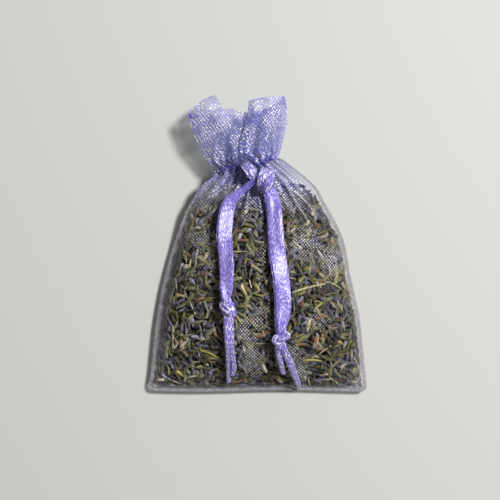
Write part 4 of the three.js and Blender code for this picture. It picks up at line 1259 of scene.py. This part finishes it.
# %% [markdown]
# Dried lavender looks matt and dusty, and no two buds have one colour: slate violet, grey green,
# olive, brown and straw. Each bud carries its own colour as an attribute of its points, and the
# finish adds fine flecks of light and dark.

# %% Lavender finish
def dried_plant(name, roughness):
    material = new_material(name)
    own = add(material, "Attribute", attribute_name="plant_colour")
    place = add(material, "TexCoord")
    fuzz = add(material, "TexNoise", {"Vector": place.outputs["Object"], "Scale": 1 / (0.45 * MM),
                                      "Detail": 3.0})
    shade = add(material, "MapRange", {"Value": fuzz.outputs["Fac"], "From Min": 0.3, "From Max": 0.7,
                                       "To Min": 0.5, "To Max": 1.3})
    paint = add(material, "VectorMath", {0: own.outputs["Color"], 1: shade}, operation="MULTIPLY")
    relief = add(material, "Bump", {"Height": fuzz.outputs["Fac"], "Strength": 0.8,
                                    "Distance": 0.2 * MM})
    body = add(material, "BsdfPrincipled", {"Base Color": paint, "Roughness": roughness,
                                            "Normal": relief, "IOR": 1.45, "Sheen Weight": 0.05})
    add(material, "OutputMaterial", {"Surface": body})
    return material


bud_finish = dried_plant("dried lavender calyx, ribbed and dusty", 0.75)
stem_finish = dried_plant("dried lavender stem, straw", 0.6)
print("lavender", [bud_finish.name, stem_finish.name])

# %% [markdown]
# Three shapes are modelled, each from a sphere of few faces because thousands of copies are made: a
# closed bud, pointed at both ends; an open one, whose mouth flares in four points; and a husk, flat
# and curled. Every copy is then turned, sized, bent and coloured its own way.

# %% Bud shapes
BUD_SEGMENTS = 8
bpy.ops.mesh.primitive_uv_sphere_add(segments=BUD_SEGMENTS, ring_count=6, radius=1)
model_bud = bpy.context.object
ball = np.array([vertex.co for vertex in model_bud.data.vertices])
bud_faces = [list(polygon.vertices) for polygon in model_bud.data.polygons]
bpy.data.objects.remove(model_bud)
bud_along = ball[:, 2].copy()
ball_ring = np.hypot(ball[:, 0], ball[:, 1])
ridge = np.cos(BUD_SEGMENTS / 2 * np.arctan2(ball[:, 1], ball[:, 0]))


def bud_form(swell, ribs, flare, flatness):
    """A bud from a sphere: swell is its radius along it, flare lengthens the points of its mouth."""
    radius = np.interp(bud_along, [-1, -0.87, -0.5, 0, 0.5, 0.87, 1], swell) * (1 + ribs * ridge)
    scale = np.where(ball_ring > 1e-4, radius / np.maximum(ball_ring, 1e-6), 0)
    along = bud_along + flare * ridge * np.clip(bud_along, 0, 1) ** 2 * (ball_ring > 1e-4)
    return np.stack([ball[:, 0] * scale, along, ball[:, 1] * scale * flatness], axis=-1)


closed_bud = bud_form([0.05, 0.4, 0.85, 1.0, 0.78, 0.42, 0.03], 0.16, 0.0, 0.9)
open_bud = bud_form([0.08, 0.5, 0.82, 0.92, 1.0, 1.05, 0.4], 0.22, 0.22, 0.85)
husk = bud_form([0.1, 0.6, 1.0, 1.15, 1.0, 0.6, 0.05], 0.1, 0.1, 0.38)
BUD_FORMS = [(0.5, closed_bud), (0.25, open_bud), (0.25, husk)]
print("bud", len(bud_faces), "faces, in", len(BUD_FORMS), "forms")

# %% [markdown]
# The buds lie in layers under the cloth, mostly flat against it. Places are drawn at random over the
# cloth's own surface and kept only if no bud is too near, which spreads them as poured buds settle.

# %% Places for the buds
EDGE_SPARE = 0.2
SLACK_ROOM = 1.5
SLACK_RUN = (5, 16, 50, 60)
TOP_UNEVEN = 1.2
PLACE_SPARE = 0.1


def edge_room(off, t):
    """How far the buds stay from the edge, off the middle line: farther on the slack left side."""
    return FLANGE + EDGE_SPARE + SLACK_ROOM * plateau(t, *SLACK_RUN) * (off < 0)


def surface_cells(grid, first, last):
    """Middles, normals and areas of the cells of a grid between two rows."""
    part = grid[first:last]
    down = part[1:, :-1] - part[:-1, :-1]
    across = part[:-1, 1:] - part[:-1, :-1]
    normal = np.cross(across, down)
    area = np.linalg.norm(normal, axis=-1)
    middle = (part[1:, 1:] + part[:-1, :-1]) / 2
    return middle.reshape(-1, 3), unit(normal).reshape(-1, 3), area.ravel()


def scattered(grid, outward, depth, apart, seed, tries):
    """Places for buds at a depth under the cloth, with the cloth's normal at each."""
    random = np.random.default_rng(seed)
    middle, normal, area = surface_cells(grid, 2, BODY_ROWS)
    normal = normal * np.where(normal[:, 2:] * outward < 0, -1, 1)
    t = middle[:, 1] + LENGTH / 2
    off = middle[:, 0] - centre_line(t)
    off = off - side_ease(off / half_width(t), t)
    top = fill_top(np.abs(off)) + TOP_UNEVEN * ripple(middle[:, 0], 0 * t, 3, 6, 20, 9)
    beside = half_width(t) - np.abs(off) > edge_room(off, t) + PLACE_SPARE
    allowed = beside & (t > FLANGE + EDGE_SPARE + PLACE_SPARE) & (t < top)
    area = np.where(allowed, area, 0)
    order = random.choice(len(area), tries, p=area / area.sum())
    deep = depth * random.uniform(0.75, 1.25, tries)
    places = np.zeros((tries, 3))
    chosen = []
    for k, below in zip(order, deep):
        here = middle[k] - normal[k] * below
        count = len(chosen)
        if count and np.min(np.sum((places[:count] - here) ** 2, axis=1)) < apart * apart:
            continue
        places[count] = here
        chosen.append(k)
    return places[:len(chosen)], normal[chosen]


print("front cloth", round(surface_cells(front_grid, 2, BODY_ROWS)[2].sum()), "square mm over the body")

# %% [markdown]
# A copy that would stick out of the cloth is turned until it fits, and made smaller if that doesn't
# help. The room for it is the space between the front and back cloth, inside the seams.

# %% Copies that fit
PLEAT_ROOM = 0.8  # share of the pleats' depth that buds stay out of
FRONT_SPARE = 0.2
BACK_SPARE = 0.12
TRIES = 20
FULL_SIZE_TRIES = 12
SMALL_SHARE = 0.6


def front_room(x, t):
    """Height of the front cloth with its pleats, at any place."""
    u = np.clip((x - centre_line(t)) / half_width(t), -1, 1)
    depth, reach = [np.interp(u, cloth_u, values) for values in front_pleats[1:3]]
    from_edge = np.minimum(half_width(t) * (1 - np.abs(u)), t)
    return front_height(x, t) - dimple(x, t) - PLEAT_ROOM * gathered(t, depth, reach, from_edge)


def in_pouch(points):
    """True where all points lie between the front and back cloth and inside the seams."""
    x, t, z = points[:, 0], np.clip(points[:, 1] + LENGTH / 2, 0, BODY_LENGTH), points[:, 2]
    x = x - side_ease((x - centre_line(t)) / half_width(t), t)
    off = x - centre_line(t)
    beside = np.abs(off) < half_width(t) - edge_room(off, t)
    between = (z < front_room(x, t) - FRONT_SPARE) & (z > back_height(x, t) + BACK_SPARE)
    return bool(np.all(beside & between & (t > FLANGE + EDGE_SPARE)))


def laid_copy(form, here, normal, size, tilt, random):
    """The points of one copy laid at a place, smaller if it must be, or None if it does not fit."""
    first = unit(np.cross(normal, (0.3, 1, 0.1)))
    second = np.cross(normal, first)
    radius, length, bend = size
    local = form * (radius, length / 2, radius)
    local[:, 0] = local[:, 0] + bend * bud_along ** 2
    spin = random.uniform(0, 2 * math.pi)
    flat_x = local[:, 0] * math.cos(spin) - local[:, 2] * math.sin(spin)
    flat_z = local[:, 0] * math.sin(spin) + local[:, 2] * math.cos(spin)
    for attempt in range(TRIES):
        share = 1 if attempt < FULL_SIZE_TRIES else SMALL_SHARE
        turn = random.uniform(0, 2 * math.pi)
        lift = math.radians(random.normal(0, tilt))
        along = first * math.cos(turn) + second * math.sin(turn)
        along = along * math.cos(lift) + normal * math.sin(lift)
        side = unit(np.cross(along, normal))
        up = np.cross(side, along)
        copy = here + share * (flat_x[:, None] * side + local[:, 1:2] * along + flat_z[:, None] * up)
        if in_pouch(copy):
            return copy
    return None


print("room for buds", round(front_room(0.0, 36.0) - back_height(0.0, 36.0), 1), "mm in the middle")

# %% [markdown]
# Each bud gets a colour from one of five kinds, darker or paler by chance and paler to its mouth, with
# its ribs painted paler than the grooves between them as painted shade. All buds of a kind become one
# piece. Layers deep in the heap are painted darker, as painted shade, and buds on the left, away from
# the lamp, are painted a little paler than those on the right: painted light and shade.

# %% Heaps of buds
BUD_LENGTH = 4.7
BUD_RADIUS = 0.66
LEFT_PAINTED_TONE = 1.14
RIGHT_PAINTED_TONE = 0.78
BUD_COLOURS = [
    ("buds_slate_violet", 0.2, ["#66647A", "#545368", "#787688", "#42404E"]),
    ("buds_lilac_grey", 0.16, ["#888494", "#716D7C", "#55515E", "#98929C"]),
    ("buds_grey_green", 0.32, ["#7A7A5C", "#636448", "#8B8B68", "#716C38"]),
    ("buds_brown", 0.15, ["#70593F", "#574431", "#8A6A45", "#393129"]),
    ("buds_straw", 0.17, ["#B7AA80", "#A3966A", "#C9BBAA", "#A19A52"]),
]
# Each layer: its cloth and outward side, depth, distance apart, seed, tilt, tries and painted-shade tone.
LAYERS = [
    (front_grid, 1, 1.1, 1.5, 1, 14, 18000, 1.0),
    (front_grid, 1, 2.0, 1.5, 2, 18, 11000, 0.5),
    (front_grid, 1, 3.3, 1.9, 3, 22, 7000, 0.35),
    (back_grid, -1, 1.0, 1.7, 4, 12, 8000, 1.0),
    (back_grid, -1, 2.1, 2.2, 5, 18, 6000, 0.5),
]


def bud_paint(colour, random, tone=1.0):
    """Colours for the points of one copy, paler to its mouth and on its ribs; tone is painted shade, lower
    deep down.
    """
    shade = np.array(linear(colour))[:3] * random.uniform(0.4, 1.5) * tone
    # Paler on the ribs and darker between them: painted shade.
    fade = np.interp(bud_along, [-1, 0.2, 1], [0.7, 1.0, 1.2]) * (1 + 0.18 * ridge)
    return np.concatenate([shade * fade[:, None], np.ones((len(fade), 1))], axis=1)


def paint_points(piece, colours):
    layer = piece.data.color_attributes.new("plant_colour", "FLOAT_COLOR", "POINT")
    layer.data.foreach_set("color", np.asarray(colours, np.float32).ravel())


def paint_evenly(piece, colour):
    paint_points(piece, np.tile(linear(colour), (len(piece.data.vertices), 1)))


def heap(name, copies, colours, material):
    """One piece from many copies of a bud."""
    faces = [[vertex + n * len(ball) for vertex in face] for n in range(len(copies)) for face in bud_faces]
    piece = mesh_piece(name, np.concatenate(copies), faces, material)
    paint_points(piece, np.concatenate(colours))
    return piece


form_chances = [share for share, _ in BUD_FORMS]
colour_chances = [share for _, share, _ in BUD_COLOURS]
copies = [[] for _ in BUD_COLOURS]
colours = [[] for _ in BUD_COLOURS]
for grid, outward, depth, apart, seed, tilt, tries, tone in LAYERS:
    random = np.random.default_rng(seed + 20)
    for here, normal in zip(*scattered(grid, outward, depth, apart, seed, tries)):
        form = BUD_FORMS[random.choice(len(BUD_FORMS), p=form_chances)][1]
        kind = random.choice(len(BUD_COLOURS), p=colour_chances)
        size = (BUD_RADIUS * random.uniform(0.7, 1.25), BUD_LENGTH * random.uniform(0.6, 1.2),
                random.uniform(-0.45, 0.45))
        colour = random.choice(BUD_COLOURS[kind][2])
        copy = laid_copy(form, here, normal, size, tilt, random)
        if copy is not None:
            copies[kind].append(copy)
            # Painted light and shade: buds on the left, away from the lamp, are painted paler than on the
            # right.
            painted_side_tone = tone * mix(LEFT_PAINTED_TONE, RIGHT_PAINTED_TONE, smooth(here[0], -25, 25))
            colours[kind].append(bud_paint(colour, random, painted_side_tone))
bud_pieces = []
for kind, (name, _, _) in enumerate(BUD_COLOURS):
    bud_pieces.append(heap(name, copies[kind], colours[kind], bud_finish))
    print(name, len(copies[kind]), "buds")

# %% [markdown]
# Thin chips of stem and leaf lie among the buds, straw coloured and olive. They are the closed bud's
# shape drawn out very thin, scattered close under the front cloth.

# %% Chips
CHIP_COLOURS = ["#B9AE84", "#8F8B4C", "#7A7650", "#C6BEA2", "#5E5A3C"]
CHIP_TILT = 6
random = np.random.default_rng(61)
chip_copies = []
chip_colours = []
for here, normal in zip(*scattered(front_grid, 1, 0.75, 3.6, 60, 2600)):
    size = (random.uniform(0.16, 0.34), random.uniform(3.0, 7.5), random.uniform(-0.7, 0.7))
    colour = random.choice(CHIP_COLOURS)
    copy = laid_copy(closed_bud, here, normal, size, CHIP_TILT, random)
    if copy is not None:
        chip_copies.append(copy)
        chip_colours.append(bud_paint(colour, random))
chips = heap("stem_chips", chip_copies, chip_colours, stem_finish)
print("chips", len(chip_copies))

# %% [markdown]
# Six whole stems and ten large buds lie on top of the heap, right under the cloth, where the solids
# have them. A stem is a thin fluted tube with a slight bow; a large bud is the open form.

# %% Stems and large buds
STEM_RADIUS = 0.36
STEM_BOW = 0.35
STEM_TAPER = 0.25
STEM_ROWS = 20
STEM_SPARE = 0.1
LARGE_BUD_DEPTH = 1.0
LARGE_BUD_SIZE = (0.85, 2.6, 0.8)
SLOPE_REACH = 0.5
STEMS = [
    [[11.6, 33.4], [22.9, 36.5], "#C9BE96"], [[-19.2, 14.3], [-11.8, 11.0], "#A8A14E"],
    [[15.7, 10.7], [21.5, 10.6], "#B4AC58"], [[-28.4, 13.5], [-28.6, 22.7], "#C2B792"],
    [[-6.7, 27.0], [-0.1, 22.0], "#8F9150"], [[24.2, 7.0], [28.0, 10.6], "#8C8648"],
]
# Each large bud: x and t of its middle, its turn in degrees and its colour.
LARGE_BUDS = [
    [-15.8, 20.0, 35, "#B9AC9C"], [19.7, 16.0, 100, "#8A5F38"], [-3.7, 30.0, 80, "#7F7E55"],
    [1.6, 19.4, 20, "#9A6C45"], [-17.5, 43.9, 150, "#C0B392"], [14.5, 51.3, 70, "#7C7A92"],
    [21.1, 25.1, 10, "#8C5F42"], [-22.6, 31.1, 60, "#8E8A64"], [-2.4, 47.8, 120, "#8B8E5E"],
    [14.3, 21.0, 160, "#6B6A86"],
]


def under_cloth(x, t, depth):
    """A point at a depth under the dimpled front cloth."""
    return np.stack([x, t - LENGTH / 2, front_height(x, t) - dimple(x, t) - depth], axis=-1)


stem_pieces = []
for number, (start, end, colour) in enumerate(STEMS, 1):
    share = np.linspace(0, 1, STEM_ROWS)
    x, t = [mix(low, high, share) for low, high in zip(start, end)]
    line = under_cloth(x, t + STEM_BOW * np.sin(math.pi * share), STEM_RADIUS + STEM_SPARE)
    radius = STEM_RADIUS * (1 - STEM_TAPER * share)
    stem = bunched_strand(f"stem_{number:02d}_straw", line, UP, radius, radius, 6, stem_finish)
    paint_evenly(stem, colour)
    stem_pieces.append(stem)
random = np.random.default_rng(71)
large_buds = []
for number, (x, t, turn, colour) in enumerate(LARGE_BUDS, 1):
    along = np.array([math.cos(math.radians(turn)), math.sin(math.radians(turn)), 0])
    ahead = along * SLOPE_REACH
    low, high = [front_height(x + s * ahead[0], t + s * ahead[1]) for s in (-1, 1)]
    along = unit(along + np.array([0, 0, (high - low) / (2 * SLOPE_REACH)]))
    side = unit(np.cross(along, UP))
    local = open_bud * LARGE_BUD_SIZE
    points = local[:, :1] * side + local[:, 1:2] * along + local[:, 2:] * np.cross(side, along)
    points = under_cloth(x, t, LARGE_BUD_DEPTH) + points
    large_buds.append(heap(f"large_bud_{number:02d}", [points], [bud_paint(colour, random)], bud_finish))
print("stems", len(stem_pieces), "and large buds", len(large_buds))

# %% [markdown]
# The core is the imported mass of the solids: a pillow between the front and back cloth, a few
# millimetres inside the visible layers. It is lofted as rings from the bottom to the top of the fill
# and roughened, and its colour is that of buds in deep shade.

# %% Packed core
CORE_DEPTH = 3.9
CORE_CLEAR = 2.4  # above the back cloth
CORE_INSET = 2.6
CORE_ROUND = 72
CORE_ROWS = 60
CORE_START = 4.4
CORE_END = 67.6
CORE_MIDDLE = 36
CORE_REACH = 32.5
CORE_LEAST = 0.6
CORE_ROUGH = 0.4


def core_ring(t):
    """One ring of the core, lower and narrower towards its two ends."""
    angle = np.linspace(0, 2 * math.pi, CORE_ROUND, endpoint=False)
    ends = np.sqrt(np.clip(1 - np.abs((t - CORE_MIDDLE) / CORE_REACH) ** 6, 0, 1))
    half = (panel_half(t) - CORE_INSET) * mix(0.7, 1, ends)
    u = np.sign(np.cos(angle)) * np.abs(np.cos(angle)) ** 0.7
    x = centre_line(t) + u * half
    top = front_room(x, np.full_like(x, t)) - CORE_DEPTH
    low = back_height(x, t) + CORE_CLEAR
    reach = np.maximum(top - low, CORE_LEAST) / 2 * ends
    rough = CORE_ROUGH * ripple(x, t + 3 * np.sin(angle), 11, 2.5, 6)
    z = (top + low) / 2 + reach * np.sin(angle) + rough
    return np.stack([x, np.full_like(x, t - LENGTH / 2), z], axis=-1)


core_grid = np.array([core_ring(t) for t in np.linspace(CORE_START, CORE_END, CORE_ROWS)])
packed_core = sheet_piece("packed_core", core_grid, core_grid[..., :2], bud_finish, closed=True)
close_ends(packed_core)
paint_evenly(packed_core, "#1E1B16")
print("core", len(packed_core.data.polygons), "faces")

# %% [markdown]
# Each side and the bottom is sewn from the inside: the cloth's cut edges lie between front and back as
# a flat strip, overlocked so that they do not fray. Through the sheer cloth it shows as a denser rim.
# The bottom strip runs round both corners. The side strips are narrower towards the neck, and the left
# one is the wider of the two. The left one also covers more than the right, so the rim away from the
# lamp looks paler: painted light. All three carry a faint painted glint.

# %% Seam allowances
SEAM_PLY = 0.3
SEAM_WIDTH = 1.2
SEAM_SPARE = 0.9
SEAM_INSET = 0.2
SEAM_PAINTED_SPARKLE = 0.1
CORNER_ROWS = 11
CORNER_RUN = (3, 9)
NECK_RUN = (60, 76)
NECK_NARROWING = 0.6
SEAM_COLUMNS = 7
# Each side seam: its name, side, column of the outline and cover; the higher cover on the left is painted
# light.
SIDE_SEAMS = [("left_side_seam_cloth", -1, 0, 0.7), ("right_side_seam_cloth", 1, -1, 0.5)]
BOTTOM_COVER = 0.55


def seam_strip(name, outer_points, inward, width, cover):
    """A flat strip beside an edge line, slightly puckered by its stitches."""
    columns = np.linspace(0, 1, SEAM_COLUMNS)
    along = running_length(outer_points)
    pucker = 0.12 * np.sin(2 * math.pi * along / 3.1) + 0.1 * np.sin(2 * math.pi * along / 7.3 + 1)
    reach = width[:, None] * columns
    grid = outer_points[:, None] + inward[:, None] * reach[..., None]
    grid[..., 2] = grid[..., 2] + pucker[:, None] * columns
    piece = sheet_piece(name, grid, paired(reach, along[:, None]), seam_finish)
    thicken(piece, SEAM_PLY)
    count = len(piece.data.vertices)
    set_points(piece, thread_cover=np.full(count, cover), sparkle=np.full(count, SEAM_PAINTED_SPARKLE))
    return piece


seam_pieces = []
for name, side, column, cover in SIDE_SEAMS:
    outline = front_grid[CORNER_ROWS:BODY_ROWS, column] - np.array([side * SEAM_INSET, 0, 0])
    t = outline[:, 1] + LENGTH / 2
    inward = unit(np.cross(tangents_of(outline), UP)) * -side
    inward[:, 1:] = inward[:, 1:] * smooth(t, *CORNER_RUN)[:, None]
    width = (SEAM_WIDTH + SEAM_SPARE - side * SEAM_SPARE) * (1 - NECK_NARROWING * smooth(t, *NECK_RUN))
    width = mix(SEAM_WIDTH, width, smooth(t, *CORNER_RUN))
    seam_pieces.append(seam_strip(name, outline, inward, width, cover))
outline = np.concatenate([front_grid[CORNER_ROWS:0:-1, 0], front_grid[0, ::2],
                          front_grid[1:CORNER_ROWS + 1, -1]])
inward = unit(np.cross(UP, tangents_of(outline)))
seam_pieces.append(seam_strip("bottom_seam_cloth", outline + SEAM_INSET * inward, inward,
                              np.full(len(outline), SEAM_WIDTH), BOTTOM_COVER))
print("seams", [piece.name for piece in seam_pieces])

# %% [markdown]
# Light for the whole table comes from a pale world, and the shape from one lamp to the right and a
# little above, as the shadows on the left show. The floor is an off-white card.

# %% Floor and light
FLOOR_SIZE = 3
LAMP_PLACE = np.array([640, 370, 950]) * MM
LAMP_SIZE = 260 * MM
LAMP_POWER = 14.8
WORLD_STRENGTH = 0.145
card = new_material("matt off-white card")
card_body = add(card, "BsdfPrincipled", {"Base Color": linear("#DADBD5"), "Roughness": 0.9})
add(card, "OutputMaterial", {"Surface": card_body})
bpy.ops.mesh.primitive_plane_add(size=FLOOR_SIZE)
floor = bpy.context.object
floor.name = "floor"
floor.data.materials.append(card)
floor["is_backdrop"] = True

bpy.ops.object.light_add(type="AREA", location=LAMP_PLACE)
lamp = bpy.context.object
lamp.data.shape = "DISK"
lamp.data.size = LAMP_SIZE
lamp.data.energy = LAMP_POWER
lamp.rotation_euler = Vector(-LAMP_PLACE).to_track_quat("-Z", "Y").to_euler()
world = bpy.data.worlds.new("pale room")
scene.world = world
world.use_nodes = True
world.node_tree.nodes["Background"].inputs["Color"].default_value = linear("#FFFFFF")
world.node_tree.nodes["Background"].inputs["Strength"].default_value = WORLD_STRENGTH
scene.view_settings.view_transform = "Standard"
scene.cycles.transparent_max_bounces = 24
print("lamp", round(1000 * np.linalg.norm(LAMP_PLACE)), "mm away")

# %% [markdown]
# Last, every piece is tied to the body it moves with, and the solids it stands for are hidden. The
# front and back cloth, which fold across the neck with the ruffle, and the right tail's ribbon, which
# bends where it leaves the tie, are not tied to a body but kept in place in world space.

# %% Ride and replace
for piece in [*bud_pieces, chips, packed_core, *stem_pieces, *large_buds]:
    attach(piece, "bag")
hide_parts("lavender_fill")
for number, piece in enumerate(large_buds, 1):
    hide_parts(f"bud_{number:02d}")
for number, piece in enumerate(stem_pieces, 1):
    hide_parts(f"stem_{number:02d}")
for piece, node in zip(seam_pieces, ["left_side_seam", "right_side_seam", "bottom_seam"]):
    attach(piece, "bag")
    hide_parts(node)
for piece, nodes in [(front_cloth, ["front_panel", "ruffle_front", "casing_ply", "neck_gather"]),
                     (back_cloth, ["back_panel", "ruffle_back"])]:
    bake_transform(piece)
    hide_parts(*nodes)
for piece, node in [(tie_left, "tie_strand_left"), (tie_right, "tie_strand_right"),
                    (left_cord, "left_drawcord_loop"), (right_cord, "right_drawcord_loop")]:
    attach(piece, "bag")
    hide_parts(node)
for side, tail, knot, short, long, line in [
        ("left", left_tail, left_knot, left_short, left_long, left_line),
        ("right", right_tail, right_knot, right_short, right_long, right_line)]:
    for piece, nodes in [(tail, ["tail_upper_ply", "tail_lower_ply"]), (knot, ["tail_knot"]),
                         (short, ["short_end"]), (long, ["long_end"])]:
        if piece is right_tail:
            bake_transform(piece)
        else:
            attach(piece, side + "_tail")
        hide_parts(*[side + "_" + node for node in nodes])

# %% [markdown]
# At the end the box round the dressed model's shown pieces is measured and printed.

# %% Sizes, and the end
low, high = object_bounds()
print("visual box", [round(1000 * x, 1) for x in (*low, *high)], "mm")
